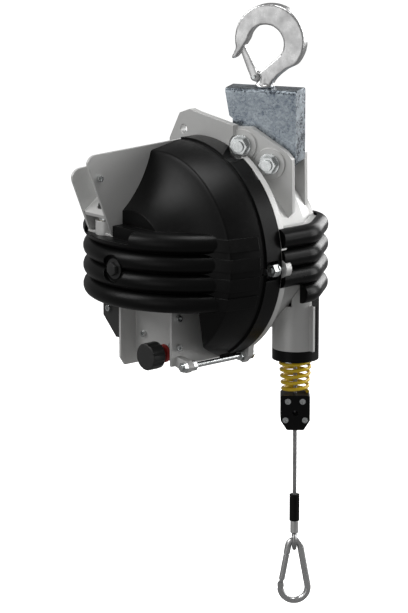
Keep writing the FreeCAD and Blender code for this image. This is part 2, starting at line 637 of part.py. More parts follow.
def wound_rope():
    return Part.makeCompound([torus_y(y, radius, ROPE_RADIUS) for y, radius in grooves()])


SPRING_Y0 = DRUM_FRONT_Y + DRUM_WEB + 2
CAP_Y = DRUM_REAR_Y - 10


def drum_cap():
    bore = SHAFT_RADIUS + BUSH_WALL
    return sleeve(DRUM_CAVITY_RADIUS, bore, (0, CAP_Y, 0), (0, DRUM_REAR_Y - 2, 0))


def drum_bushes():
    bore = SHAFT_RADIUS + RUNNING
    spans = [(LOCK_DISC_BACK_Y - LOCK_DISC_THICK, DRUM_FRONT_Y + DRUM_WEB), (CAP_Y, DRUM_REAR_Y - 2)]
    return Part.makeCompound([sleeve(SHAFT_RADIUS + BUSH_WALL, bore, (0, a, 0), (0, b, 0))
                              for a, b in spans])


def lock_disc():
    y1 = LOCK_DISC_BACK_Y
    y0 = y1 - LOCK_DISC_THICK
    disc = y_rod(LOCK_DISC_RADIUS, 0, 0, y0, y1)
    hub = y_rod(DRUM_HUB_RADIUS, 0, 0, y1 - 1, DRUM_FRONT_Y - 12)
    pitch = math.hypot(LOCK_X, LOCK_Z)
    start = math.degrees(math.atan2(LOCK_Z, LOCK_X))
    cuts = [y_rod(SHAFT_RADIUS + BUSH_WALL, 0, 0, y0 - 1, DRUM_FRONT_Y)]
    for i in range(LOCK_NOTCHES):
        a = math.radians(start + i * 360.0 / LOCK_NOTCHES)
        ux, uz = math.cos(a), math.sin(a)
        cuts.append(y_rod(LOCK_NOTCH_RADIUS, pitch * ux, pitch * uz, y0 - 1, y1 + 1))
        sx, sz = -uz * LOCK_NOTCH_RADIUS, ux * LOCK_NOTCH_RADIUS
        far = LOCK_DISC_RADIUS + 5
        cuts.append(slab_xz([(pitch * ux + sx, pitch * uz + sz), (far * ux + sx, far * uz + sz),
                             (far * ux - sx, far * uz - sz), (pitch * ux - sx, pitch * uz - sz)],
                            y0 - 1, y1 + 1))
    return fused(disc, hub).cut(cuts)


def drum_shaft():
    return y_rod(SHAFT_RADIUS, 0, 0, SHAFT_FRONT_Y, SHAFT_REAR_Y)


def spring_hub():
    y0 = SPRING_Y0
    return sleeve(SPRING_HUB_RADIUS, SHAFT_RADIUS, (0, y0, 0), (0, y0 + SPRING_WIDTH, 0))


def main_spring():
    """Flat spiral spring: half turns of growing radius round two alternating centres."""
    def side(offset):
        edges, radius = [], SPRING_HUB_RADIUS + GAP + offset
        x_in, centre = radius, 0.0
        for i in range(2 * SPRING_TURNS):
            sign = 1 if i % 2 == 0 else -1
            x_out = x_in - sign * 2 * radius
            middle = 0.5 * (x_in + x_out)
            edges.append(arc((x_in, 0, 0), (middle, 0, sign * radius), (x_out, 0, 0)))
            x_in = x_out
            radius += 0.25 * SPRING_PITCH
        return edges, x_in

    inner, inner_end = side(0.0)
    outer, outer_end = side(SPRING_STRIP)
    start = line((SPRING_HUB_RADIUS + GAP, 0, 0), (SPRING_HUB_RADIUS + GAP + SPRING_STRIP, 0, 0))
    end = line((inner_end, 0, 0), (outer_end, 0, 0))
    wire = Part.Wire(Part.__sortEdges__(inner + [end] + outer + [start]))
    strip = Part.Face(wire).extrude(V(0, SPRING_WIDTH, 0))
    strip.translate(V(0, SPRING_Y0, 0))
    return strip


def shaft_bushes():
    bore, outer = SHAFT_RADIUS + RUNNING, SHAFT_RADIUS + RUNNING + BUSH_WALL
    front = sleeve(outer, bore, (0, ARM_Y, 0), (0, ARM_Y + ARM_THICK, 0))
    rear = sleeve(outer, bore, (0, DRUM_SHELL_END_Y - 5, 0), (0, DRUM_SHELL_END_Y + REAR_COVER_THICK, 0))
    return Part.makeCompound([front, rear])


# ---- load adjuster ----------------------------------------------------------------------
WORM_BUSH_RADIUS = 11.0


def adjuster_housing():
    x0, x1, wall = ADJ_LEFT_X, ADJ_RIGHT_X, ADJ_WALL
    floor = ADJ_FLOOR_Z
    right = slab_yz([(ADJ_NOSE_Y, ADJ_NOSE_Z), (ADJ_BACK_Y, 154), (ADJ_BACK_Y, floor), (-142, floor)],
                    x1 - wall, x1)
    left = slab_yz([(-179, 115), (ADJ_BACK_Y, 120), (ADJ_BACK_Y, floor), (-142, floor)], x0, x0 + wall)
    web = block((x0, x1), (-146, ADJ_BACK_Y), (floor - 4, floor))
    rib = slab_yz([(-150, 66), (-52, 128), (-50, 124), (-148, 62)], x0 + 1, x1 - 1)
    rib = rib.cut(rod(WORM_BUSH_RADIUS + 2, (WORM_X, WHEEL_Y, floor), (WORM_X, WHEEL_Y, 100)))
    far = 3 * COVER_RADIUS
    corner = block((-far, x1), (-far, far), (floor + 1 + GAP, far))
    back = y_rod(COVER_RADIUS, 0, 0, ADJ_BACK_Y - wall, ADJ_BACK_Y).common(corner)
    rim = sleeve(COVER_RADIUS, LOCK_DISC_RADIUS + 2, (0, ADJ_BACK_Y - wall, 0), (0, RIM_Y, 0)).common(corner)
    band = band_prism(-1, floor, BAND_TOP + GAP).cut(band_prism(BAND_INNER + GAP, floor - 1, BAND_TOP + 1))
    back, rim = back.cut(band), rim.cut(band)
    arm = slab_xz([(x0 + 8, floor - 4), (x0 + 8, floor - 16), (-20, -18), (20, -18), (26, 8),
                   (x1, floor - 4)], ARM_Y, ARM_Y + ARM_THICK)
    eye = y_rod(SHAFT_RADIUS + RUNNING + BUSH_WALL + 8, 0, 0, ARM_Y, ARM_Y + ARM_THICK)
    boss = rod(WORM_BUSH_RADIUS + 4, (WORM_X, WHEEL_Y, floor - 4), (WORM_X, WHEEL_Y, floor + 22))
    body = fused(right, left, web, rib, back, rim, arm, eye, boss)
    wheel_room = y_rod(WHEEL_RADIUS + 2, 0, 0, WHEEL_Y - 0.5 * WHEEL_WIDTH - 2, WHEEL_Y + 0.5 * WHEEL_WIDTH + 2)
    holes = [y_rod(SHAFT_RADIUS + RUNNING + BUSH_WALL, 0, 0, ARM_Y - 1, ARM_Y + ARM_THICK + 1), wheel_room,
             rod(WORM_BUSH_RADIUS, (WORM_X, WHEEL_Y, floor - 5), (WORM_X, WHEEL_Y, floor + 23))]
    return body.cut(holes + box_screw_shanks())


def worm_bush():
    z0, z1 = ADJ_FLOOR_Z - 4, ADJ_FLOOR_Z + 22
    return sleeve(WORM_BUSH_RADIUS, 7 + RUNNING, (WORM_X, WHEEL_Y, z0), (WORM_X, WHEEL_Y, z1))


def worm_shaft():
    z_bush = ADJ_FLOOR_Z - 4 - GAP
    worm = rod(WORM_RADIUS, (WORM_X, WHEEL_Y, -24), (WORM_X, WHEEL_Y, z_bush))
    count = 7
    for i in range(count):
        z = -20 + i * (z_bush + 18) / count
        worm = worm.cut(Part.makeTorus(WORM_RADIUS + 0.6, 1.8, V(WORM_X, WHEEL_Y, z), V(0, 0, 1)))
    stem = rod(7, (WORM_X, WHEEL_Y, z_bush - 1), (WORM_X, WHEEL_Y, WORM_TOP_Z - 18))
    collar = rod(10, (WORM_X, WHEEL_Y, ADJ_FLOOR_Z + 22 + GAP), (WORM_X, WHEEL_Y, ADJ_FLOOR_Z + 27))
    head = hexagon(17, (WORM_X, WHEEL_Y, WORM_TOP_Z - 18), (WORM_X, WHEEL_Y, WORM_TOP_Z))
    return fused(worm, stem, collar, head)


def worm_wheel():
    y0, y1 = WHEEL_Y - 0.5 * WHEEL_WIDTH, WHEEL_Y + 0.5 * WHEEL_WIDTH
    tip = WHEEL_RADIUS
    root = tip - 3.2
    points = []
    for i in range(WHEEL_TEETH):
        for share, radius in ((0.0, root), (0.22, tip), (0.5, tip), (0.72, root)):
            a = 2 * math.pi * (i + share) / WHEEL_TEETH
            points.append((radius * math.cos(a), radius * math.sin(a)))
    wheel = slab_xz(points, y0, y1)
    return wheel.cut(y_rod(SHAFT_RADIUS, 0, 0, y0 - 1, y1 + 1))


# ---- drum lock --------------------------------------------------------------------------
def lock_housing():
    wall = 4.0
    half, top, bottom = LOCK_HALF, LOCK_TOP_Z, LOCK_BOTTOM_Z
    back = LOCK_DISC_BACK_Y - LOCK_DISC_THICK - 4
    web = block((-half, half), (LOCK_WEB_Y - wall, LOCK_WEB_Y), (bottom, top))
    right = slab_yz([(LOCK_FRONT_Y, top), (LOCK_FRONT_Y, bottom), (back, bottom), (back, top)],
                    half - wall, half)
    drop = bottom - LOCK_LEFT_DROP
    left = slab_yz([(LOCK_FRONT_Y, top), (LOCK_FRONT_Y, drop + 12), (LOCK_FRONT_Y + 8, drop),
                    (LOCK_WEB_Y, drop), (back, bottom), (back, top)], -half, -half + wall)
    floor = block((-half, half), (LOCK_WEB_Y - 1, back), (bottom, bottom + wall))
    lug = slab_xz([(half - wall, bottom), (half - wall, bottom + 14), (TIE_X + 2, TIE_Z + 8),
                   (TIE_X + 8, TIE_Z), (TIE_X, TIE_Z - 9)], LOCK_FRONT_Y + 8, LOCK_FRONT_Y + 18)
    boss = y_rod(COLLAR_RADIUS + 5, LOCK_X, LOCK_Z, LOCK_WEB_Y - wall, LOCK_WEB_Y + 6).common(
        block((-half, half), (-200, 0), (bottom, top)))
    body = fused(web, right, left, floor, lug, boss)
    body = body.cut(y_rod(PLUNGER_RADIUS + RUNNING, LOCK_X, LOCK_Z, LOCK_WEB_Y - 20, 0))
    body = body.cut(box_screw_shanks())
    return body.cut(y_rod(TIE_RADIUS + HOLE_CLEARANCE, TIE_X, TIE_Z, LOCK_FRONT_Y, LOCK_WEB_Y))


COLLAR_Y0 = LOCK_WEB_Y - 4.0
COLLAR_Y1 = KNOB_FACE_Y + KNOB_LENGTH + LOCK_TRAVEL + 6


def lock_collar():
    return sleeve(COLLAR_RADIUS, PLUNGER_RADIUS + RUNNING, (LOCK_X, COLLAR_Y1, LOCK_Z),
                  (LOCK_X, COLLAR_Y0, LOCK_Z))


def lock_ring():
    y0 = KNOB_FACE_Y + KNOB_LENGTH + LOCK_TRAVEL + GAP
    return sleeve(COLLAR_RADIUS + 1, PLUNGER_RADIUS + RUNNING, (LOCK_X, y0, LOCK_Z),
                  (LOCK_X, COLLAR_Y1, LOCK_Z))


def lock_plunger():
    y0 = KNOB_FACE_Y + 6
    rod_part = y_rod(PLUNGER_RADIUS, LOCK_X, LOCK_Z, y0, PLUNGER_TIP_Y)
    return rod_part


def lock_knob():
    y0, y1 = KNOB_FACE_Y, KNOB_FACE_Y + KNOB_LENGTH
    knob = y_rod(KNOB_RADIUS, LOCK_X, LOCK_Z, y0, y1)
    knob = knob.makeFillet(2.5, [e for e in knob.Edges if e.BoundBox.YLength < 0.1])
    flutes = []
    for i in range(8):
        a = math.radians(22.5 + 45 * i)
        reach = KNOB_RADIUS + 3.5
        flutes.append(y_rod(5, LOCK_X + reach * math.cos(a), LOCK_Z + reach * math.sin(a), y0 - 1, y1 + 1))
    socket = y_rod(PLUNGER_RADIUS, LOCK_X, LOCK_Z, y0 + 6, y1 + 1)
    return knob.cut(flutes + [socket])


def side_guard():
    """Small cast guard left of the lock channel."""
    x1 = -LOCK_HALF
    y0 = LOCK_FRONT_Y + 6
    plate = slab_xz([(x1 - 42, -68), (x1, -68), (x1, -128), (x1 - 14, -128), (x1 - 42, -100)], y0, y0 + 4)
    foot = block((x1 - 4, x1), (y0, LOCK_WEB_Y + 4), (-128, -68))
    return fused(plate, foot).cut(box_screw_shanks())


# ---- fasteners --------------------------------------------------------------------------
BOX_SCREW_HEAD = 4.5
BOX_SCREW_REACH = 3.5


def box_screw_seats():
    """Each screw's seat on a wall's face, and the direction its shank runs in."""
    inwards = (-1, 0, 0)
    lock_y = LOCK_FRONT_Y + 12
    return [((LOCK_X - 62, LOCK_WEB_Y - 4, -120), (0, 1, 0)),
            ((-LOCK_HALF - 28, LOCK_FRONT_Y + 6, -88), (0, 1, 0)),
            ((LOCK_HALF, lock_y, LOCK_TOP_Z - 14), inwards),
            ((LOCK_HALF, lock_y, LOCK_BOTTOM_Z + 26), inwards),
            ((ADJ_RIGHT_X, -175, 118), inwards)]


def box_screw_shanks():
    shanks = []
    for seat, (dx, dy, dz) in box_screw_seats():
        end = (seat[0] + BOX_SCREW_REACH * dx, seat[1] + BOX_SCREW_REACH * dy, seat[2])
        shanks.append(rod(2.5, seat, end))
    return shanks


def box_screws():
    """Screws of the adjuster box, the lock channel and the guard."""
    screws = []
    for shank, (seat, (dx, dy, dz)) in zip(box_screw_shanks(), box_screw_seats()):
        top = (seat[0] - BOX_SCREW_HEAD * dx, seat[1] - BOX_SCREW_HEAD * dy, seat[2])
        socket_end = (seat[0] - 0.4 * BOX_SCREW_HEAD * dx, seat[1] - 0.4 * BOX_SCREW_HEAD * dy, seat[2])
        head = rod(BOX_SCREW_HEAD, top, seat).cut(hexagon(4.5, top, socket_end))
        screws.append(fused(head, shank))
    return Part.makeCompound(screws)


def tie_rod():
    y0, y1 = LOCK_FRONT_Y - 2, PLATE_REAR_Y + 8
    return y_rod(TIE_RADIUS, TIE_X, TIE_Z, y0, y1)


def tie_rod_nuts():
    nuts = []
    for y in (LOCK_FRONT_Y + 1, PLATE_REAR_Y, LOCK_FRONT_Y + 18, RIM_Y - 7):
        nut = hexagon(13, (TIE_X, y, TIE_Z), (TIE_X, y + 7, TIE_Z))
        nuts.append(nut.cut(y_rod(TIE_RADIUS, TIE_X, TIE_Z, y - 1, y + 8)))
    return Part.makeCompound(nuts)


def cover_studs():
    return Part.makeCompound([y_rod(STUD_RADIUS, side * STUD_X, STUD_Z, RIM_Y - 20, PLATE_REAR_Y)
                              for side in (-1, 1)])


def cover_nuts():
    nuts = []
    for side in (-1, 1):
        x, y = side * STUD_X, RIM_Y - 8
        washer = y_rod(10, x, STUD_Z, y - 2, y)
        nut = hexagon(17, (x, y - 10, STUD_Z), (x, y - 2, STUD_Z))
        nuts.append(fused(washer, nut).cut(y_rod(STUD_RADIUS, x, STUD_Z, y - 11, y + 1)))
    return Part.makeCompound(nuts)


def cover_bolt():
    y = COVER_RECESS_Y
    head = hexagon(17, (COVER_BOLT_X, y - 8, COVER_BOLT_Z), (COVER_BOLT_X, y - 2, COVER_BOLT_Z))
    washer = y_rod(15, COVER_BOLT_X, COVER_BOLT_Z, y - 2, y)
    shank = y_rod(STUD_RADIUS, COVER_BOLT_X, COVER_BOLT_Z, y - 2, -COVER_DEPTH + 14)
    return fused(head, washer, shank)


# ---- rope guide -------------------------------------------------------------------------
def guide_tube(z0, z1):
    tube = sleeve(GUIDE_RADIUS, GUIDE_RADIUS - GUIDE_WALL, (ROPE_LINE_X, ROPE_LINE_Y, z0),
                  (ROPE_LINE_X, ROPE_LINE_Y, z1))
    return tube.cut(drum_shell(-GAP))


def guide_half(side, z_top):
    """One half of the rope guide; side is -1 for the front half and 1 for the rear half."""
    far = 200
    if side < 0:
        half = block((0, far), (0, ROPE_LINE_Y), (-far, 0))
    else:
        half = block((0, far), (ROPE_LINE_Y + GAP, far), (-far, 0))
    floor = rod(GUIDE_RADIUS, (ROPE_LINE_X, ROPE_LINE_Y, GUIDE_BOTTOM_Z),
                (ROPE_LINE_X, ROPE_LINE_Y, GUIDE_BOTTOM_Z + 8))
    y_flange = (ROPE_LINE_Y - 4, ROPE_LINE_Y) if side < 0 else (ROPE_LINE_Y, ROPE_LINE_Y + 4 + GAP)
    ear = block((ROPE_LINE_X + GUIDE_RADIUS - 2, ROPE_LINE_X + GUIDE_RADIUS + GUIDE_FLANGE), y_flange,
                (GUIDE_BOTTOM_Z, WINDOW_BOTTOM_Z))
    body = fused(guide_tube(GUIDE_BOTTOM_Z, z_top), floor, ear).common(half)
    bore = rod(12, (ROPE_LINE_X, ROPE_LINE_Y, GUIDE_BOTTOM_Z - 1), (ROPE_LINE_X, ROPE_LINE_Y, -20))
    return body.cut(bore)


def rope_guide_front():
    body = guide_half(-1, GUIDE_TOP_Z)
    inside = fused(band_prism(BAND_INNER + GAP, BAND_BOTTOM - GAP, 0),
                   block((0, 300), (-50, 300), (-400, BAND_BOTTOM - GAP)))
    window = block((ROPE_LINE_X - 8, ROPE_LINE_X + 20), (0, ROPE_LINE_Y - 10), (WINDOW_BOTTOM_Z, GUIDE_TOP_Z - 6))
    return body.common(inside).cut(window)


def rope_guide_rear():
    return guide_half(1, BAND_BOTTOM - GAP)


def guide_ring():
    return sleeve(GUIDE_RADIUS, 12, (ROPE_LINE_X, ROPE_LINE_Y, GUIDE_RING_Z),
                  (ROPE_LINE_X, ROPE_LINE_Y, GUIDE_BOTTOM_Z))


def guide_bush():
    return sleeve(12, BUSH_BORE_RADIUS, (ROPE_LINE_X, ROPE_LINE_Y, GUIDE_RING_Z),
                  (ROPE_LINE_X, ROPE_LINE_Y, GUIDE_BOTTOM_Z + 8))


# ---- pieces on the rope, drawn about the rope line --------------------------------------
def buffer_spring():
    top, bottom = GUIDE_RING_Z - GAP - BUFFER_WIRE, CLAMP_TOP_Z + BUFFER_WIRE
    height = top - bottom
    lean = math.degrees(math.atan2(BUFFER_TOP_RADIUS - BUFFER_BOTTOM_RADIUS, height))
    helix = Part.makeHelix(height / BUFFER_TURNS, height, BUFFER_BOTTOM_RADIUS, lean)
    section = Part.Wire(Part.makeCircle(BUFFER_WIRE, V(BUFFER_BOTTOM_RADIUS, 0, 0), V(0, 1, 0)))
    coil = Part.Wire(helix.Edges).makePipeShell([section], True, True)
    coil.translate(V(0, 0, bottom))
    return placed(coil, TOOL)


def clamp_half(side):
    w, d = CLAMP_HALF_WIDTH, CLAMP_HALF_DEPTH
    top, bottom = CLAMP_TOP_Z, CLAMP_BOTTOM_Z
    outline = [(-w, top), (w, top), (w, bottom + 14), (w - 9, bottom), (9 - w, bottom), (-w, bottom + 14)]
    y0, y1 = (-d, -0.5 * GAP) if side < 0 else (0.5 * GAP, d)
    body = slab_xz(outline, y0, y1)
    outer = [e for e in body.Edges if e.BoundBox.YLength > 1 and e.BoundBox.XLength < 0.1]
    body = body.makeFillet(2.5, outer)
    cuts = [rod(ROPE_RADIUS, (0, 0, bottom - 1), (0, 0, top + 1)), y_rod(4, 0, -238, -40, 40)]
    for x, z in CLAMP_SCREWS:
        cuts.append(y_rod(2.6, x, z, -40, 40))
        if side < 0:
            cuts.append(y_rod(4.6, x, z, -40, -d + 4.5))
    return placed(body.cut(cuts), TOOL)


CLAMP_SCREWS = ((-10.5, -221.0), (10.5, -221.0), (-14.0, -248.5), (14.0, -248.5))


def clamp_screws():
    screws = []
    for x, z in CLAMP_SCREWS:
        y = -CLAMP_HALF_DEPTH + 4.5
        head = y_rod(4.3, x, z, y - 4.2, y).cut(hexagon(4, (x, y - 4.2, z), (x, y - 2, z)))
        screws.append(placed(fused(head, y_rod(2.6, x, z, y, CLAMP_HALF_DEPTH)), TOOL))
    return Part.makeCompound(screws)


ROPE_TOP_Z = -30.0


def rope():
    return placed(rod(ROPE_RADIUS, (0, 0, FERRULE_BOTTOM_Z + 4), (0, 0, ROPE_TOP_Z)), TOOL)


def rubber_sleeve():
    return placed(sleeve(SLEEVE_RADIUS, ROPE_RADIUS, (0, 0, SLEEVE_BOTTOM_Z), (0, 0, SLEEVE_TOP_Z)), TOOL)


def ferrule():
    body = rod(5.9, (0, 0, FERRULE_BOTTOM_Z), (0, 0, SLEEVE_BOTTOM_Z))
    body = body.makeFillet(1.2, [e for e in body.Edges if e.BoundBox.ZLength < 0.1])
    return placed(body.cut(rod(ROPE_RADIUS, (0, 0, FERRULE_BOTTOM_Z + 4), (0, 0, SLEEVE_BOTTOM_Z + 1))), TOOL)


def x_ring(profile):
    """Revolve a profile of (x, radius) pairs about the X line through the eye's centre."""
    face = polygon([V(x, 0, EYE_Z + radius) for x, radius in profile])
    return face.revolve(V(0, 0, EYE_Z), V(1, 0, 0), 360)


ROPE_EYE_RADIUS = EYE_INNER + EYE_RIM + ROPE_RADIUS


def thimble():
    half, lip = 0.5 * EYE_WIDTH, EYE_INNER + EYE_RIM + 2
    inner, rim = EYE_INNER, EYE_INNER + EYE_RIM
    ring = x_ring([(-half, inner), (half, inner), (half, lip), (half - 0.4, lip), (half - 0.4, rim),
                   (0.4 - half, rim), (0.4 - half, lip), (-half, lip)])
    ferrule_room = block((-20, 20), (-20, 20), (FERRULE_BOTTOM_Z, FERRULE_BOTTOM_Z + 20))
    return placed(ring.cut(ferrule_room), TOOL)


def rope_eye():
    ring = Part.makeTorus(ROPE_EYE_RADIUS, ROPE_RADIUS, V(0, 0, EYE_Z), V(1, 0, 0))
    ferrule_room = block((-20, 20), (-20, 20), (FERRULE_BOTTOM_Z, FERRULE_BOTTOM_Z + 20))
    return placed(ring.cut(ferrule_room), TOOL)


# ---- snap hook --------------------------------------------------------------------------
SNAP_TOP_Z = EYE_Z - EYE_INNER + SNAP_WIRE + SNAP_SEAT    # wire centre at the top of the snap hook
SNAP_RUN = SNAP_LENGTH - 2 * SNAP_WIRE
SNAP_UPPER_Z = SNAP_TOP_Z - SNAP_TOP_RADIUS
SNAP_LOWER_Z = SNAP_TOP_Z - SNAP_RUN + SNAP_BOTTOM_RADIUS
SNAP_SIN = (SNAP_BOTTOM_RADIUS - SNAP_TOP_RADIUS) / (SNAP_UPPER_Z - SNAP_LOWER_Z)
SNAP_COS = math.sqrt(1 - SNAP_SIN ** 2)


def snap_side(side):
    """Ends of one straight side: the tangent points on the lower and the upper arc."""
    lower = (side * SNAP_BOTTOM_RADIUS * SNAP_COS, 0, SNAP_LOWER_Z + SNAP_BOTTOM_RADIUS * SNAP_SIN)
    upper = (side * SNAP_TOP_RADIUS * SNAP_COS, 0, SNAP_UPPER_Z + SNAP_TOP_RADIUS * SNAP_SIN)
    return lower, upper


def along_gate(distance):
    lower, upper = (V(*p) for p in snap_side(-1))
    return lower.add(upper.sub(lower).normalize() * distance)


def carabiner():
    left_low, left_high = snap_side(-1)
    right_low, right_high = snap_side(1)
    nose = along_gate(GATE_LENGTH + 1)
    path = Part.Wire([
        arc(left_low, (0, 0, SNAP_LOWER_Z - SNAP_BOTTOM_RADIUS), right_low),
        line(right_low, right_high),
        arc(right_high, (0, 0, SNAP_TOP_Z), left_high),
        line(left_high, tuple(nose))])
    tangent = V(*left_high).sub(V(*left_low)).normalize()
    section = Part.Wire(Part.makeCircle(SNAP_WIRE, V(*left_low), tangent))
    body = path.makePipeShell([section], True, False)
    eye = rod(SNAP_WIRE, (left_low[0], -SNAP_WIRE, left_low[2]), (left_low[0], SNAP_WIRE, left_low[2]))
    slot = rod(7.5, (left_low[0], -2.3, left_low[2]), (left_low[0], 2.3, left_low[2]))
    pin = y_rod(1.6, left_low[0], left_low[2], -10, 10)
    return placed(fused(body, eye).cut([slot, pin]), TOOL)


def carabiner_gate():
    pivot = along_gate(0)
    bar = rod(GATE_WIRE, tuple(along_gate(8.2)), tuple(along_gate(GATE_LENGTH)))
    bar = bar.makeFillet(1.0, [e for e in bar.Edges if e.Length > 20 and e.isClosed()])
    tongue = rod(4, (pivot.x, -2, pivot.z), (pivot.x, 2, pivot.z))
    run = V(*snap_side(-1)[1]).sub(V(*snap_side(-1)[0])).normalize()
    cross = V(run.z, 0, -run.x) * 3.0
    near, far = pivot, along_gate(10)
    plate = polygon([V(p.x, -2, p.z) for p in (near.sub(cross), near.add(cross), far.add(cross),
                                               far.sub(cross))]).extrude(V(0, 4, 0))
    hole = y_rod(1.6 + RUNNING, pivot.x, pivot.z, -10, 10)
    return placed(fused(bar, tongue, plate).cut(hole), TOOL)


def gate_pin():
    pivot = along_gate(0)
    return placed(y_rod(1.6, pivot.x, pivot.z, -SNAP_WIRE, SNAP_WIRE), TOOL)


PIECES = [
    front_cover, rear_bumper, main_housing, rear_cover, cover_screws, adjuster_housing, lock_housing,
    side_guard, suspension_bracket, bracket_bolts, bracket_nuts, swivel_hook, hook_nut, thrust_washer,
    hook_latch, latch_pin, rope_drum, drum_cap, drum_bushes, wound_rope, lock_disc, drum_shaft,
    spring_hub, main_spring, shaft_bushes, worm_bush, worm_shaft, worm_wheel, lock_knob, lock_plunger,
    lock_collar, lock_ring, box_screws, tie_rod, tie_rod_nuts, cover_studs, cover_nuts, cover_bolt,
    rope_guide_front, rope_guide_rear, guide_ring, guide_bush, buffer_spring, clamp_half, clamp_screws,
    rope, rubber_sleeve, ferrule, thimble, rope_eye, carabiner, carabiner_gate, gate_pin]


def save(name, shape):
    moved = shape.copy()
    moved.translate(ORIGIN.negative())
    print(name, "valid" if moved.isValid() else "INVALID", "solids", len(moved.Solids),
          "volume %.0f" % moved.Volume)
    moved.exportStep("parts/%s.step" % name)


os.makedirs("parts", exist_ok=True)
for piece in PIECES:
    if piece is clamp_half:
        save("clamp_front", clamp_half(-1))
        save("clamp_rear", clamp_half(1))
    else:
        save(piece.__name__, piece())
print("origin", ORIGIN)
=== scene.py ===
import json
import math

import bpy
import bmesh
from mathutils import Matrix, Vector


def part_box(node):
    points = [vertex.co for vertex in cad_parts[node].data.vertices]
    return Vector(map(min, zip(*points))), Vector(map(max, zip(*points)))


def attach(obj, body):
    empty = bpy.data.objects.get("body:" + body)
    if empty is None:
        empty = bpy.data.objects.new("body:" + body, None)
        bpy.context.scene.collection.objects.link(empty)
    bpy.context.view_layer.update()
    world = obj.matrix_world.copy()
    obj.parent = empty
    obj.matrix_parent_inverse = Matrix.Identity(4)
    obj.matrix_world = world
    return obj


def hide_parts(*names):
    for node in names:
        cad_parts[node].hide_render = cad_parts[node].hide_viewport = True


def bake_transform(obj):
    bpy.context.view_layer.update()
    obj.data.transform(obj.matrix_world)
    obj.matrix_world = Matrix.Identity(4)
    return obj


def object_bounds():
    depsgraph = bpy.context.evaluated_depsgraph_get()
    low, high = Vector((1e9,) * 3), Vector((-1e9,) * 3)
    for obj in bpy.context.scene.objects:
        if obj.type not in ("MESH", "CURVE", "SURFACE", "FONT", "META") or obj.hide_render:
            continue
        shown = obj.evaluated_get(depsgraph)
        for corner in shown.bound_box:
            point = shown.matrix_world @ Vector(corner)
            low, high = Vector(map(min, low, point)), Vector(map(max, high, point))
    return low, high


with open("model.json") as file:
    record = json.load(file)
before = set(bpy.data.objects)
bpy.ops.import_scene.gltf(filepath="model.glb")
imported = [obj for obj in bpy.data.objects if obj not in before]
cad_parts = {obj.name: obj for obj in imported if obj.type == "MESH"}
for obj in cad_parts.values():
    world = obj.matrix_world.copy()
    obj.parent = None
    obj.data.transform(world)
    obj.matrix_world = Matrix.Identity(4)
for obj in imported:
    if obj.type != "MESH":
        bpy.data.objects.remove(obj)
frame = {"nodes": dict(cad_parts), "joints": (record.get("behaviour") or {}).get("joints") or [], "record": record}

MM = 0.001                   # one millimetre in metres
nodes = frame["nodes"]
cad_low, cad_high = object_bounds()
bpy.ops.object.select_all(action="DESELECT")


# ---- places, read from the frame --------------------------------------------------------
def joint(name):
    return next(j for j in frame["joints"] if j["name"] == name)


def centre_of(node):
    low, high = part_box(node)
    return (Vector(low) + Vector(high)) / 2


BODY = Vector(joint("shaft_adjust")["pos_m"])       # middle of the round body
ROPE_LINE = centre_of("rope")
ROPE_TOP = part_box("rope")[1][2]
ROPE_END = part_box("rope")[0][2]


# ---- camera, light and floor ------------------------------------------------------------
CAMERA_AZIMUTH = math.radians(48.5)
CAMERA_HEIGHT_ANGLE = math.radians(13)
CAMERA_DISTANCE = 5.0
VIEW_HEIGHT = 0.8766       # metres seen from top to bottom of the frame at the body
VIEW_POINT = Vector((BODY.x + 0.0005, BODY.y + 0.0005, BODY.z - 0.0875))
SENSOR_WIDTH = 36
CLIPPING = (0.05, 100)

# each softbox: its place to the right of the body, above it and towards the camera,
# then its width, height and power
SOFTBOXES = {
    "key_light": ((-2.2, 1.6, 0.6), 1.2, 1.5, 40),
    "fill_light": ((2.3, 0.5, -0.3), 0.9, 1.9, 30),
    "front_light": ((-1.8, 0.1, 2.4), 1.5, 1.8, 8),
    "top_light": ((0.3, 2.2, 0.1), 1.5, 1.1, 34),
    "rear_light": ((1.4, 0.6, -2.0), 1.2, 1.4, 22),
}
ROOM_LIGHT = 0.24          # the room's share of the light, unseen by the camera
WHITE = (1, 1, 1, 1)
FLOOR_DROP = 0.12          # from the object's lowest point down to the floor
FLOOR_RADIUS = 14
FLOOR_GLOW = 0.85


def add_camera():
    data = bpy.data.cameras.new("Camera")
    camera = bpy.data.objects.new("Camera", data)
    bpy.context.scene.collection.objects.link(camera)
    back = Vector((math.sin(CAMERA_AZIMUTH) * math.cos(CAMERA_HEIGHT_ANGLE),
                   -math.cos(CAMERA_AZIMUTH) * math.cos(CAMERA_HEIGHT_ANGLE),
                   math.sin(CAMERA_HEIGHT_ANGLE)))
    camera.location = VIEW_POINT + back * CAMERA_DISTANCE
    camera.rotation_mode = "QUATERNION"
    camera.rotation_quaternion = (-back).to_track_quat("-Z", "Y")
    data.sensor_width = SENSOR_WIDTH
    data.lens = SENSOR_WIDTH * CAMERA_DISTANCE / VIEW_HEIGHT
    data.clip_start, data.clip_end = CLIPPING
    bpy.context.scene.camera = camera


def add_softbox(name, place, aim, width, height, power):
    data = bpy.data.lights.new(name, "AREA")
    data.shape, data.size, data.size_y, data.energy = "RECTANGLE", width, height, power
    lamp = bpy.data.objects.new(name, data)
    bpy.context.scene.collection.objects.link(lamp)
    lamp.location = place
    lamp.rotation_mode = "QUATERNION"
    lamp.rotation_quaternion = (Vector(aim) - Vector(place)).to_track_quat("-Z", "Y")


def from_camera(right, up, towards):
    """A point given from the camera's side of the body: to its right, up, and towards it."""
    side = Vector((math.cos(CAMERA_AZIMUTH), math.sin(CAMERA_AZIMUTH), 0))
    front = Vector((math.sin(CAMERA_AZIMUTH), -math.cos(CAMERA_AZIMUTH), 0))
    return BODY + side * right + front * towards + Vector((0, 0, up))


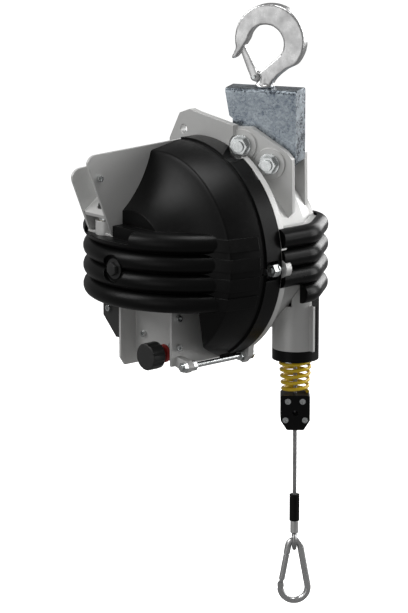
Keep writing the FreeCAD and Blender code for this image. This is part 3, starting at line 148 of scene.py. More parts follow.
def add_studio():
    """Softboxes round the object, and a white ground behind it that its surfaces don't mirror."""
    for name, (place, width, height, power) in SOFTBOXES.items():
        add_softbox(name, from_camera(*place), BODY, width, height, power)
    world = bpy.data.worlds.new("studio")
    world.use_nodes = True
    tree = world.node_tree
    ground = tree.nodes["Background"]
    ground.inputs["Color"].default_value = WHITE
    room = tree.nodes.new("ShaderNodeBackground")
    room.inputs["Color"].default_value = WHITE
    room.inputs["Strength"].default_value = ROOM_LIGHT
    seen = tree.nodes.new("ShaderNodeLightPath")
    share = tree.nodes.new("ShaderNodeMixShader")
    tree.links.new(seen.outputs["Is Camera Ray"], share.inputs[0])
    tree.links.new(room.outputs[0], share.inputs[1])
    tree.links.new(ground.outputs[0], share.inputs[2])
    tree.links.new(share.outputs[0], tree.nodes["World Output"].inputs["Surface"])
    bpy.context.scene.world = world
    bpy.context.scene.view_settings.view_transform = "Standard"


def add_floor():
    bpy.ops.mesh.primitive_circle_add(vertices=64, radius=FLOOR_RADIUS, fill_type="NGON",
                                      location=(0, 0, cad_low[2] - FLOOR_DROP))
    floor = bpy.context.active_object
    floor.name = "floor"
    finish = Finish("studio_floor")
    finish.set(("Base Color", (0.9, 0.9, 0.89, 1)), ("Roughness", 0.8),
               ("Emission Color", WHITE), ("Emission Strength", FLOOR_GLOW))
    floor.data.materials.append(finish.material)
    floor.visible_glossy = False
    floor.visible_diffuse = False


# ---- material maker ---------------------------------------------------------------------
class Wire:
    """A shader socket that can be used in sums; each sign in a sum adds a Math node."""

    def __init__(self, tree, socket):
        self.tree, self.socket = tree, socket

    def maths(self, operation, *others):
        node = self.tree.nodes.new("ShaderNodeMath")
        node.operation = operation
        for slot, value in zip(node.inputs, (self,) + others):
            connect(self.tree, value, slot)
        return Wire(self.tree, node.outputs[0])

    def __add__(self, other):
        return self.maths("ADD", other)

    def __sub__(self, other):
        return self.maths("SUBTRACT", other)

    def __mul__(self, other):
        return self.maths("MULTIPLY", other)

    def __truediv__(self, other):
        return self.maths("DIVIDE", other)

    def __rsub__(self, other):
        return self * -1 + other

    __radd__ = __add__
    __rmul__ = __mul__

    def limited(self):
        return self.maths("MAXIMUM", 0.0).maths("MINIMUM", 1.0)


def connect(tree, value, slot):
    if isinstance(value, Wire):
        tree.links.new(value.socket, slot)
    else:
        slot.default_value = value


class Finish:
    """A material in the making; node() adds one shader node and gives its output as a Wire."""

    def __init__(self, name):
        self.material = bpy.data.materials.new(name)
        self.material.use_nodes = True
        self.tree = self.material.node_tree
        self.shader = self.tree.nodes["Principled BSDF"]

    def node(self, kind, settings=(), output=0, sockets=()):
        node = self.tree.nodes.new("ShaderNode" + kind)
        for name, value in settings:
            setattr(node, name, value)
        for name, value in sockets:
            connect(self.tree, value, node.inputs[name])
        return Wire(self.tree, node.outputs[output])

    def place(self, stretch=(1, 1, 1)):
        spot = self.node("TexCoord", output="Object")
        return self.node("Mapping", sockets=[("Vector", spot), ("Scale", stretch)])

    def noise(self, scale, detail=2.0, rough=0.5, stretch=(1, 1, 1)):
        return self.node("TexNoise", sockets=[("Vector", self.place(stretch)), ("Scale", scale),
                                              ("Detail", detail), ("Roughness", rough)])

    def steps(self, value, low, high):
        """0 below low, 1 above high and even in between."""
        return ((value - low) / (high - low)).limited()

    def blend(self, share, first, second):
        mix = self.tree.nodes.new("ShaderNodeMix")
        mix.data_type = "RGBA"
        connect(self.tree, share, mix.inputs[0])
        connect(self.tree, first, mix.inputs[6])
        connect(self.tree, second, mix.inputs[7])
        return Wire(self.tree, mix.outputs[2])

    def rounded(self, radius):
        """A normal that makes sharp edges catch the light as if rounded by this radius."""
        return self.node("Bevel", [("samples", 6)], sockets=[("Radius", radius)])

    def relief(self, height, distance, strength=1.0, edge=0.0):
        links = [("Height", height), ("Distance", distance), ("Strength", strength)]
        if edge:
            links.append(("Normal", self.rounded(edge)))
        return self.node("Bump", sockets=links)

    def set(self, *sockets):
        for name, value in sockets:
            connect(self.tree, value, self.shader.inputs[name])
        return self.material


def grey(value, tint=(1, 1, 1)):
    return (value * tint[0], value * tint[1], value * tint[2], 1)


def moulded_black(name, shade, rough, grain=900, edge=0.0012, gloss=0.14):
    finish = Finish(name)
    patches = finish.noise(26, 4, 0.55)
    grains = finish.noise(grain, 2, 0.5)
    dust = finish.steps(finish.noise(140, 5, 0.65), 0.52, 0.78)
    colour = finish.blend(dust * 0.3, grey(shade), grey(shade * 2.2 + 0.001))
    return finish.set(("Base Color", colour), ("Specular IOR Level", gloss),
                      ("Roughness", patches * 0.14 + dust * 0.1 + (rough - 0.07)),
                      ("Normal", finish.relief(grains, 0.00012, 0.4, edge)))


def cast_metal(name, shade, rough=0.42, tint=(1, 1, 0.985), metallic=0.75):
    finish = Finish(name)
    sand = finish.noise(620, 3, 0.6)
    cloud = finish.noise(16, 4, 0.6)
    pits = finish.steps(finish.noise(240, 4, 0.7), 0.62, 0.75)
    colour = finish.blend(cloud * 0.55 + pits * 0.35, grey(shade, tint), grey(shade * 0.72, tint))
    return finish.set(("Base Color", colour), ("Metallic", metallic),
                      ("Roughness", cloud * 0.2 + sand * 0.12 + (rough - 0.14)),
                      ("Normal", finish.relief(sand * 0.7 + pits * -0.5, 0.0003, 0.5, 0.0012)))


def plated(name, shade, rough=0.28, tint=(0.97, 1, 1), mottle=0.5, edge=0.0007):
    finish = Finish(name)
    cloud = finish.noise(60, 5, 0.62)
    scratch = finish.noise(900, 2, 0.5, (1, 1, 0.08))
    share = finish.steps(cloud, 0.35, 0.7) * mottle
    colour = finish.blend(share, grey(shade, tint), grey(shade * 0.55, tint))
    return finish.set(("Base Color", colour), ("Metallic", 1.0),
                      ("Roughness", cloud * 0.22 + scratch * 0.1 + (rough - 0.16)),
                      ("Normal", finish.relief(scratch * 0.3 + cloud, 0.0002, 0.35, edge)))


def painted(name, colour, dark, rough=0.35):
    finish = Finish(name)
    orange_peel = finish.noise(420, 2, 0.5)
    wear = finish.steps(finish.noise(90, 5, 0.7), 0.55, 0.72)
    return finish.set(("Base Color", finish.blend(wear * 0.5, colour, dark)),
                      ("Roughness", orange_peel * 0.15 + wear * 0.1 + (rough - 0.07)),
                      ("Normal", finish.relief(orange_peel, 0.0002, 0.3)))


def galvanised(name, light, dark, rough=0.3):
    """Zinc with its flowers: many small flat patches, each a little lighter or darker."""
    finish = Finish(name)
    flowers = finish.node("TexVoronoi", [("feature", "F1")], "Color",
                          [("Vector", finish.place()), ("Scale", 420), ("Randomness", 1.0)])
    shades = finish.node("SeparateColor", sockets=[("Color", flowers)])
    patch = finish.steps(shades, 0.15, 0.9)
    cloud = finish.steps(finish.noise(45, 5, 0.65), 0.38, 0.66)
    share = (patch * 0.55 + cloud * 0.5).limited()
    return finish.set(("Base Color", finish.blend(share, dark, light)), ("Metallic", 1.0),
                      ("Roughness", patch * 0.14 + cloud * 0.12 + (rough - 0.1)),
                      ("Normal", finish.relief(patch + cloud, 0.0002, 0.35)))


FINISHES = {
    "moulded_cover": moulded_black("cover_black", 0.0022, 0.36),
    "bumper_rubber": moulded_black("bumper_black", 0.0022, 0.3),
    "cast_aluminium": cast_metal("cast_silver", 0.63, 0.4, metallic=0.4),
    "dark_casting": cast_metal("cast_dark", 0.07),
    "galvanised_sheet": galvanised("galvanised_sheet", (0.46, 0.51, 0.55, 1), (0.1, 0.12, 0.15, 1)),
    "plated_steel": plated("zinc_plate", 0.7, 0.26),
    "forged_steel": plated("forged_bright", 0.66, 0.3, (1, 1, 1), 0.6, 0),
    "black_steel": painted("black_oxide", grey(0.012), grey(0.03), 0.38),
    "dark_steel": painted("oiled_steel", grey(0.1), grey(0.04), 0.45),
    "bronze": plated("sintered_bronze", 0.5, 0.5, (1, 0.78, 0.45), 0.3),
    "red_plastic": painted("red_ring", (0.45, 0.02, 0.015, 1), (0.2, 0.01, 0.01, 1), 0.5),
    "black_plastic": moulded_black("nylon_black", 0.004, 0.36, 1400, 0.0008),
    "dark_knob": moulded_black("knob_dark", 0.02, 0.42, gloss=0.4),
    "yellow_paint": painted("spring_yellow", (0.85, 0.58, 0.02, 1), (0.5, 0.33, 0.02, 1), 0.3),
    "wire_rope": plated("rope_steel", 0.42, 0.4, (1, 1, 1), 0.7, 0),
    "black_rubber": moulded_black("sleeve_black", 0.004, 0.45),
    "soft_alloy": cast_metal("pressed_alloy", 0.66, 0.35),
    "bright_wire": plated("bright_wire", 0.66, 0.26, (1, 1, 1), 0.4, 0),
}


def paint_nodes():
    for part in frame["record"]["subparts"]:
        piece = nodes[part["node"]]
        piece.data.materials.clear()
        piece.data.materials.append(FINISHES[part["material_slot"]])


# ---- rope -------------------------------------------------------------------------------
ROPE_DIAMETER = 6 * MM
ROPE_LAY = 42 * MM          # length of one full turn of a strand
STRANDS = 6
STRAND_RADIUS = ROPE_DIAMETER / 6 * 1.05      # a little more than fits, so that strands touch
STRAND_LEANS = (-1.1, -0.45, 0.45, 1.1)       # where the outer points of a strand lie, in radians
RINGS_PER_LAY = 26
ROPE_ROUTE = [Vector((ROPE_LINE.x, ROPE_LINE.y, z))
              for z in (ROPE_TOP, (ROPE_TOP + ROPE_END) / 2, ROPE_END)]


def route_points(route, resolution):
    """Points along the smooth line through a route, from the top down."""
    data = bpy.data.curves.new("route", "CURVE")
    data.dimensions = "3D"
    spline = data.splines.new("NURBS")
    spline.points.add(len(route) - 1)
    for point, place in zip(spline.points, route):
        point.co = (*place, 1)
    spline.order_u = 3
    spline.use_endpoint_u = True
    spline.resolution_u = resolution
    holder = bpy.data.objects.new("route", data)
    bpy.context.scene.collection.objects.link(holder)
    mesh = bpy.data.meshes.new_from_object(holder)
    points = [v.co.copy() for v in mesh.vertices]
    bpy.data.objects.remove(holder)
    bpy.data.meshes.remove(mesh)
    return points


def strand_ring(turn):
    """Outline of the rope's section: round strands side by side, turned by the given angle."""
    centre = ROPE_DIAMETER / 2 - STRAND_RADIUS
    ring = []
    for i in range(STRANDS):
        middle = turn + i * 2 * math.pi / STRANDS
        for lean in STRAND_LEANS:
            outwards = middle + lean
            ring.append(Vector((centre * math.cos(middle) + STRAND_RADIUS * math.cos(outwards),
                                centre * math.sin(middle) + STRAND_RADIUS * math.sin(outwards), 0)))
    return ring


def make_rope():
    length = ROPE_TOP - ROPE_END
    line = route_points(ROPE_ROUTE, round(length / ROPE_LAY * RINGS_PER_LAY))
    mesh = bmesh.new()
    rings = []
    for place in line:
        turn = 2 * math.pi * (ROPE_TOP - place.z) / ROPE_LAY
        rings.append([mesh.verts.new(place + p) for p in strand_ring(turn)])
    for upper, lower in zip(rings, rings[1:]):
        for i in range(len(upper)):
            j = (i + 1) % len(upper)
            mesh.faces.new((upper[i], upper[j], lower[j], lower[i]))
    mesh.faces.new(list(reversed(rings[0])))
    mesh.faces.new(rings[-1])
    bmesh.ops.recalc_face_normals(mesh, faces=mesh.faces)
    piece = new_piece("steel_rope", mesh, "wire_rope")
    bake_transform(piece)
    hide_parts("rope")


def new_piece(name, mesh, slot):
    data = bpy.data.meshes.new(name)
    mesh.to_mesh(data)
    mesh.free()
    piece = bpy.data.objects.new(name, data)
    bpy.context.scene.collection.objects.link(piece)
    data.materials.append(FINISHES[slot])
    for face in data.polygons:
        face.use_smooth = True
    return piece


# ---- modelling by hand ------------------------------------------------------------------
WELD = 0.02 * MM             # corners closer than this become one


def at(x, y, z):
    """A place given in millimetres from the middle of the round body."""
    return BODY + Vector((x, y, z)) * MM


def only(piece):
    if bpy.context.mode != "OBJECT":
        bpy.ops.object.mode_set(mode="OBJECT")
    bpy.ops.object.select_all(action="DESELECT")
    piece.select_set(True)
    bpy.context.view_layer.objects.active = piece


def pick(kind, test):
    """In edit mode, select the faces or edges whose middle and direction pass the test.

    Middles are in millimetres from the body's middle. A face's direction is its normal."""
    bpy.ops.mesh.select_mode(type=kind)
    bpy.ops.mesh.select_all(action="DESELECT")
    piece = bpy.context.active_object
    mesh = bmesh.from_edit_mesh(piece.data)
    place = piece.matrix_world
    turn = place.to_3x3()
    for element in (mesh.faces if kind == "FACE" else mesh.edges):
        corners = [place @ v.co for v in element.verts]
        middle = (sum(corners, Vector()) / len(corners) - BODY) / MM
        if kind == "FACE":
            direction = (turn @ element.normal).normalized()
        else:
            direction = (corners[1] - corners[0]).normalized()
        element.select_set(test(middle, direction))
    mesh.select_flush(True)
    bmesh.update_edit_mesh(piece.data)


def settled(piece, name):
    """Named, with its place, turn and size moved into its mesh."""
    only(piece)
    piece.name = name
    bpy.ops.object.transform_apply(location=True, rotation=True, scale=True)
    return piece


def block(name, low, high):
    low, high = at(*low), at(*high)
    bpy.ops.mesh.primitive_cube_add(size=1, location=(low + high) / 2)
    piece = bpy.context.active_object
    piece.scale = high - low
    return settled(piece, name)


def rod(name, radius, start, end, sides=48):
    start, end = at(*start), at(*end)
    bpy.ops.mesh.primitive_cylinder_add(vertices=sides, radius=radius * MM, depth=(end - start).length,
                                        location=(start + end) / 2,
                                        rotation=(end - start).to_track_quat("Z", "Y").to_euler())
    return settled(bpy.context.active_object, name)


def modified(piece, kind, **settings):
    only(piece)
    modifier = piece.modifiers.new(kind.lower(), kind)
    for name, value in settings.items():
        setattr(modifier, name, value)
    bpy.ops.object.modifier_apply(modifier=modifier.name)
    return piece


def joined(piece, other, operation="UNION"):
    """The piece with the other one added, taken away or kept in common; the other one is used up."""
    modified(piece, "BOOLEAN", operation=operation, solver="EXACT", object=other)
    bpy.data.objects.remove(other)
    return piece


def without(piece, *others):
    for other in others:
        joined(piece, other, "DIFFERENCE")
    return piece


def finished(piece, slot, body, *replaced, angle=32):
    """A piece ready to show: clean mesh, smooth where it is round, its finish and its body."""
    only(piece)
    bpy.ops.object.mode_set(mode="EDIT")
    bpy.ops.mesh.select_all(action="SELECT")
    bpy.ops.mesh.remove_doubles(threshold=WELD)
    bpy.ops.mesh.normals_make_consistent(inside=False)
    bpy.ops.object.mode_set(mode="OBJECT")
    bpy.ops.object.shade_smooth_by_angle(angle=math.radians(angle))
    piece.data.materials.clear()
    piece.data.materials.append(FINISHES[slot])
    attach(piece, body)
    if replaced:
        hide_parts(*replaced)
    return piece


# ---- front cover with its ribs ----------------------------------------------------------
# In millimetres from the middle of the round body: X to the right, Y to the rear, Z up.
FAR = 400                    # past the whole body, for solids that only cut
DOME_RADIUS = 157
DOME_STRAIGHT_Y = -30        # straight from the joint to here, then narrowing to the shoulder
DOME_SHOULDER_Y, DOME_FACE_Y = -80, -133
DOME_SHOULDER_RADIUS = 148
DOME_FACE_RADIUS = 70
DOME_BULGE = 7.5
DOME_STEPS = 14
DOME_SIDES = 128
SHOULDER_ROUNDING = 2.5
SLOPE_SHARE = 0.7            # of an offset, this much goes into each of the slope's directions
COVER_WALL = 4
JOINT_Y = 5                  # the cover meets the main plate here
RIM_RADIUS, RIM_BACK_Y = 160, -24
RIB_HALF = 14
RIB_HEIGHTS = (34, 6, -22, -50)
RIBS_TOP, RIBS_LOW = RIB_HEIGHTS[0] + RIB_HALF, RIB_HEIGHTS[-1] - RIB_HALF
RIB_WIDE, RIB_DEEP = 158, 172      # half width and half depth of the ribs' plan
RIB_SHIFT = -8                     # the plan's middle lies to the left of the body's
RIB_SIDES = 144
RIB_STEPS = 9
RIB_VALLEY = 12
RIB_WALL = 4
HOLLOW_INSET = 8                   # the room behind the ribs ends this far from their ends
FIRST_SLICE = 0.1
RIDGE_HEIGHT, RIDGE_HALF = 2, 9    # on the dome itself the ribs go on as low ridges
RIDGE_ROUNDING = 1.4
BOX_X, BOX_FLOOR_Z = -21, 30       # the adjuster's box stands left of and above these
SEAT_Z = BOX_FLOOR_Z + 1           # the top rib is cut flat here, under the box
SEAT_LEFT_X, SEAT_RIGHT_X = -80, 30
SEAT_FRONT_Y, SEAT_BACK_Y = -151, -24
STUD_X, STUD_Z = 156, -7.5         # one stud on each side holds the cover
STUD_POCKET_RADIUS, STUD_POCKET_Y = 14, (-24, -3)
STUD_HOLE_RADIUS, STUD_HOLE_Y = 5, -30
BOLT_Z = -8
BOLT_FLATS, BOLT_ROUNDING = 17, 1.2
BOLT_Y = (-RIB_DEEP + 5, -RIB_DEEP - 1)
WASHER_RADIUS, WASHER_BACK_Y = 14.5, -RIB_DEEP + 7
RECESS_RADIUS = 20
TIE_ROD_X, TIE_ROD_Z = 78, -145.5
TIE_ROOM_RADIUS, TIE_ROOM_Y = 9, -25
CUT_EDGE = ((162, -229), (45, 10))     # the oblique edge at the lower left, from front to back
FORK_TURN = math.radians(30)
FORK_CORNER = (51, 10)
NUT_PLACES = ((12.6, 153.5), (54.6, 129.0))      # along the fork and up
NUT_ROOM_RADIUS, NUT_ROOM_DEPTH = 17, -2
BOSS_ROOM_RADIUS, BOSS_ROOM_DEPTHS = 23.5, (-2.3, 13)


def dome_profile():
    """Radius and Y along the rounded shoulder, from the straight band to the face."""
    start = Vector((DOME_SHOULDER_RADIUS, DOME_SHOULDER_Y))
    end = Vector((DOME_FACE_RADIUS, DOME_FACE_Y))
    chord = end - start
    out = Vector((chord.y, -chord.x)).normalized()
    half = 2 * math.atan(2 * DOME_BULGE / chord.length)
    radius = chord.length / 2 / math.sin(half)
    centre = (start + end) / 2 - out * (radius - DOME_BULGE)
    swing = [half * (2 * i / DOME_STEPS - 1) for i in range(DOME_STEPS + 1)]
    along = chord.normalized()
    return [centre + out * radius * math.cos(a) + along * radius * math.sin(a) for a in swing]


def dome(offset):
    """The dome as a solid, its surface moved inwards by offset."""
    size = DOME_RADIUS - offset
    piece = rod("dome", size, (0, JOINT_Y, 0), (0, DOME_STRAIGHT_Y, 0), DOME_SIDES)
    bpy.ops.object.mode_set(mode="EDIT")
    pick("FACE", lambda p, n: n.y < -0.9)
    y = DOME_STRAIGHT_Y
    for point in dome_profile():
        new_y, new_size = point.y + SLOPE_SHARE * offset, point.x - SLOPE_SHARE * offset
        bpy.ops.mesh.extrude_region_move(TRANSFORM_OT_translate={"value": (0, (new_y - y) * MM, 0)})
        bpy.ops.transform.resize(value=(new_size / size, 1, new_size / size),
                                 center_override=at(0, new_y, 0))
        y, size = new_y, new_size
    if not offset:
        pick("EDGE", lambda p, n: abs(p.y - DOME_SHOULDER_Y) < 0.1 and abs(n.y) < 0.1)
        bpy.ops.mesh.bevel(offset=SHOULDER_ROUNDING * MM, segments=3)
    bpy.ops.object.mode_set(mode="OBJECT")
    return piece


def rib_plan(name, inset, low, high):
    """The ribs' plan as a solid disc between two heights."""
    piece = rod(name, RIB_WIDE - inset, (RIB_SHIFT, 0, low), (RIB_SHIFT, 0, high), RIB_SIDES)
    bpy.ops.object.mode_set(mode="EDIT")
    bpy.ops.mesh.select_all(action="SELECT")
    bpy.ops.transform.resize(value=(1, (RIB_DEEP - inset) / (RIB_WIDE - inset), 1),
                             center_override=at(RIB_SHIFT, 0, 0))
    bpy.ops.object.mode_set(mode="OBJECT")
    return piece


def ribbed_disc():
    """All ribs as one solid: a disc grown upwards, out to each crest and in to each valley."""
    limit = math.acos(1 - RIB_VALLEY / RIB_HALF)
    swing = [limit * (2 * i / RIB_STEPS - 1) for i in range(RIB_STEPS + 1)]
    levels = [(height + RIB_HALF * math.sin(a), RIB_HALF * (1 - math.cos(a)))
              for height in reversed(RIB_HEIGHTS) for a in swing]
    z, inset = levels[0]
    piece = rib_plan("ribs", inset, z, z + FIRST_SLICE)
    bpy.ops.object.mode_set(mode="EDIT")
    pick("FACE", lambda p, n: n.z > 0.9)
    z += FIRST_SLICE
    for new_z, new_inset in levels[1:]:
        bpy.ops.mesh.extrude_region_move(TRANSFORM_OT_translate={"value": (0, 0, (new_z - z) * MM)})
        bpy.ops.transform.resize(value=((RIB_WIDE - new_inset) / (RIB_WIDE - inset),
                                        (RIB_DEEP - new_inset) / (RIB_DEEP - inset), 1),
                                 center_override=at(RIB_SHIFT, 0, new_z))
        z, inset = new_z, new_inset
    bpy.ops.object.mode_set(mode="OBJECT")
    return piece


def fork_point(along, depth, z):
    """A point in the suspension fork's own directions."""
    return (FORK_CORNER[0] + along * math.cos(FORK_TURN) - depth * math.sin(FORK_TURN),
            FORK_CORNER[1] + along * math.sin(FORK_TURN) + depth * math.cos(FORK_TURN), z)


def oblique_room():
    """The space left of the oblique edge, below the ribs."""
    piece = block("room", (-FAR, -FAR, -FAR), (FAR, FAR, RIBS_LOW))
    (x0, y0), (x1, y1) = CUT_EDGE
    side = Vector((y1 - y0, x0 - x1, 0)).normalized()
    bpy.ops.object.mode_set(mode="EDIT")
    for place, direction in ((at(x0, y0, 0), side), (at(0, y1, 0), (0, 1, 0))):
        bpy.ops.mesh.select_all(action="SELECT")
        bpy.ops.mesh.bisect(plane_co=place, plane_no=direction, use_fill=True, clear_outer=True)
    bpy.ops.object.mode_set(mode="OBJECT")
    return piece


def cover_shell():
    """Dome and rim as a solid, without the room of the box and of the oblique edge."""
    shell = joined(dome(0), rod("rim", RIM_RADIUS, (0, JOINT_Y, 0), (0, RIM_BACK_Y, 0), DOME_SIDES))
    return without(shell, block("box_side", (-FAR, -FAR, BOX_FLOOR_Z), (BOX_X, FAR, FAR)),
                   oblique_room())


def seated_ribs():
    """The ribs in front of the main plate, the top one cut flat under the box."""
    return without(ribbed_disc(),
                   block("box_seat", (SEAT_LEFT_X, -FAR, SEAT_Z), (BOX_X, SEAT_BACK_Y, FAR)),
                   block("front_seat", (BOX_X - 1, -FAR, SEAT_Z), (SEAT_RIGHT_X, SEAT_FRONT_Y, FAR)),
                   block("rear", (-FAR, JOINT_Y, -FAR), (FAR, FAR, FAR)))


def dome_ridges():
    """A slightly larger dome, of which only a band at the height of each rib is kept."""
    ridges = dome(-RIDGE_HEIGHT)
    gaps = block("gaps", (-FAR, -FAR, -FAR), (FAR, FAR, RIB_HEIGHTS[-1] - RIDGE_HALF))
    for lower, upper in zip(RIB_HEIGHTS[1:], RIB_HEIGHTS):
        joined(gaps, block("gap", (-FAR, -FAR, lower + RIDGE_HALF), (FAR, FAR, upper - RIDGE_HALF)))
    joined(gaps, block("above", (-FAR, -FAR, RIB_HEIGHTS[0] + RIDGE_HALF), (FAR, FAR, FAR)))
    joined(gaps, block("left", (-FAR, -FAR, -FAR), (BOX_X + 5, FAR, FAR)))
    joined(gaps, block("rim_side", (-FAR, RIM_BACK_Y - 10, -FAR), (FAR, FAR, FAR)))
    return modified(without(ridges, gaps), "BEVEL", width=RIDGE_ROUNDING * MM, segments=3,
                    limit_method="ANGLE", angle_limit=math.radians(50))


def cover_hollow():
    """The room inside the cover: behind the dome's wall and the ribs' wall, open to the rear."""
    hollow = joined(dome(COVER_WALL), rib_plan("hollow", RIB_VALLEY + RIB_WALL,
                                               RIBS_LOW + HOLLOW_INSET, RIBS_TOP - HOLLOW_INSET))
    joined(hollow, block("behind", (-FAR, JOINT_Y - 1, -FAR), (FAR, JOINT_Y + 6, FAR)))
    low = BOX_FLOOR_Z - COVER_WALL
    return without(hollow, block("box_side", (-FAR, -FAR, low), (BOX_X, SEAT_BACK_Y, FAR)),
                   block("seat_side", (BOX_X - 1, -FAR, low),
                         (SEAT_RIGHT_X + COVER_WALL, SEAT_FRONT_Y + 2, FAR)))


def cut_fastener_rooms(cover):
    """Pockets, holes and clearances for the studs, the bolt, the tie rod and the fork's nuts."""
    for x in (-STUD_X, STUD_X):
        without(cover, rod("pocket", STUD_POCKET_RADIUS, *((x, y, STUD_Z) for y in STUD_POCKET_Y)),
                rod("stud_hole", STUD_HOLE_RADIUS, (x, STUD_HOLE_Y, STUD_Z), (x, FAR, STUD_Z)))
    without(cover, rod("recess", RECESS_RADIUS, (0, -FAR, BOLT_Z), (0, WASHER_BACK_Y, BOLT_Z)))
    without(cover, rod("tie_room", TIE_ROOM_RADIUS, (TIE_ROD_X, TIE_ROOM_Y, TIE_ROD_Z),
                       (TIE_ROD_X, FAR, TIE_ROD_Z)))
    for along, z in NUT_PLACES:
        without(cover, rod("nut_room", NUT_ROOM_RADIUS, fork_point(along, -FAR, z),
                           fork_point(along, NUT_ROOM_DEPTH, z)),
                rod("boss_room", BOSS_ROOM_RADIUS,
                    *(fork_point(along, depth, z) for depth in BOSS_ROOM_DEPTHS)))


def make_cover():
    cover = joined(cover_shell(), seated_ribs())
    joined(cover, dome_ridges())
    without(cover, cover_hollow())
    cut_fastener_rooms(cover)
    cover.name = "moulded_cover"
    finished(cover, "moulded_cover", "housing", "front_cover")


def make_cover_bolt():
    bolt = rod("cover_bolt_head", BOLT_FLATS / math.sqrt(3), *((0, y, BOLT_Z) for y in BOLT_Y), 6)
    bpy.ops.object.mode_set(mode="EDIT")
    pick("EDGE", lambda p, n: p.y < BOLT_Y[1] + 0.1 and abs(n.y) < 0.1)
    bpy.ops.mesh.bevel(offset=BOLT_ROUNDING * MM, segments=2)
    bpy.ops.object.mode_set(mode="OBJECT")
    joined(bolt, rod("washer", WASHER_RADIUS, (0, WASHER_BACK_Y, BOLT_Z), (0, BOLT_Y[0], BOLT_Z)))
    finished(bolt, "black_steel", "housing", "cover_bolt")


# ---- hook and latch ---------------------------------------------------------------------
# Outlines in the hook's own plane: along it from the shank's middle, and up.
HOOK_TURN = math.radians(30)
HOOK_AXIS = (-BODY.x / MM, -BODY.y / MM)
HOOK_RING, HOOK_RING_RADIUS = (9, 299.3), 51
HOOK_BOWL, HOOK_BOWL_RADIUS = (3.5, 294.6), 26.2
HOOK_NECK = [(11, 232), (12, 238), (16, 243.5), (23, 250.5), (34, 259)]
HOOK_TIP = [(-43.5, 280), (-47, 273.5), (-46, 270.5), (-42.5, 270.5), (-37, 277), (-30, 287)]
HOOK_LATCH_SEAT = [(-3, 255), (-6, 252.5), (-9.5, 253)]
HOOK_FOOT = [(-11, 238), (-11, 232)]
HOOK_HALF_THICK = 10.5
LATCH_PIN = (-13.5, 246)
LATCH_BOSS_RADIUS = 7.5
SHANK_RADIUS, SHANK_Z = 11, (203, 246)
COLLAR_RADIUS, COLLAR_Z = 14.5, (231.5, 235.5)
EAR_ROOM_RADIUS, EAR_ROOM_DEPTHS = 9, (4.6, 30)
FORGING_VOXEL, FORGING_ROUNDS = 1.1, 26
LATCH_LEAN = math.radians(24)
LATCH_REACH = 47
# the latch's edge: the share of its reach, and how far to the side
LATCH_EDGE = ((0.3, 5.5), (0.97, 4), (1, 2), (1, -3), (0.97, -4), (0.3, -5.5))
LATCH_FOOT_RADIUS = 6.2
LATCH_HALF_WIDTH = 7
LATCH_HOLLOW = ((-9, 2.6), (44, 1.6), (44, -12), (-9, -12))
LATCH_HOLLOW_HALF = 5.4
LATCH_ROOM_RADIUS, LATCH_ROOM_HALF = 8.4, 5.0


def hook_point(along, depth, z):
    """A point in the hook's own plane, turned about its shank; depth is square to that plane."""
    return (HOOK_AXIS[0] + along * math.cos(HOOK_TURN) - depth * math.sin(HOOK_TURN),
            HOOK_AXIS[1] + along * math.sin(HOOK_TURN) + depth * math.cos(HOOK_TURN), z)


def arc_points(centre, radius, start, end, count):
    """Points on an arc, its angles in degrees from the plane's first direction."""
    angles = [math.radians(start + (end - start) * i / count) for i in range(count + 1)]
    return [(centre[0] + radius * math.cos(a), centre[1] + radius * math.sin(a)) for a in angles]


def slab(name, corners, thickness):
    """A flat outline, given by its corners, made as thick as the given step."""
    bpy.ops.mesh.primitive_circle_add(vertices=len(corners), fill_type="NGON")
    piece = bpy.context.active_object
    for vertex, corner in zip(piece.data.vertices, corners):
        vertex.co = at(*corner)
    piece.name = name
    bpy.ops.object.mode_set(mode="EDIT")
    bpy.ops.mesh.select_all(action="SELECT")
    bpy.ops.mesh.extrude_region_move(TRANSFORM_OT_translate={"value": Vector(thickness) * MM})
    bpy.ops.mesh.select_all(action="SELECT")
    bpy.ops.mesh.normals_make_consistent(inside=False)
    bpy.ops.object.mode_set(mode="OBJECT")
    return piece


def hook_slab(name, outline, half):
    """An outline in the hook's plane, made thick by half to either side of it."""
    start, end = Vector(hook_point(0, -half, 0)), Vector(hook_point(0, half, 0))
    return slab(name, [hook_point(p, -half, z) for p, z in outline], end - start)


def forged(piece, voxel, rounds):
    """Sharp corners become the soft edges of a forging."""
    modified(piece, "REMESH", mode="VOXEL", voxel_size=voxel * MM)
    return modified(piece, "SMOOTH", factor=0.5, iterations=rounds)


def make_hook():
    outline = HOOK_NECK + arc_points(HOOK_RING, HOOK_RING_RADIUS, -42, 194, 40)
    outline += HOOK_TIP + arc_points(HOOK_BOWL, HOOK_BOWL_RADIUS, 170, -38, 30)
    outline += HOOK_LATCH_SEAT + arc_points(LATCH_PIN, LATCH_BOSS_RADIUS, 90, 250, 8) + HOOK_FOOT
    hook = hook_slab("forged_hook", outline, HOOK_HALF_THICK)
    joined(hook, rod("shank", SHANK_RADIUS, *(hook_point(0, 0, z) for z in SHANK_Z)))
    joined(hook, rod("collar", COLLAR_RADIUS, *(hook_point(0, 0, z) for z in COLLAR_Z)))
    along, z = LATCH_PIN
    for side in (-1, 1):
        without(hook, rod("ear_room", EAR_ROOM_RADIUS,
                          *(hook_point(along, side * depth, z) for depth in EAR_ROOM_DEPTHS)))
    forged(hook, FORGING_VOXEL, FORGING_ROUNDS)
    finished(hook, "forged_steel", "hook", "swivel_hook", angle=60)


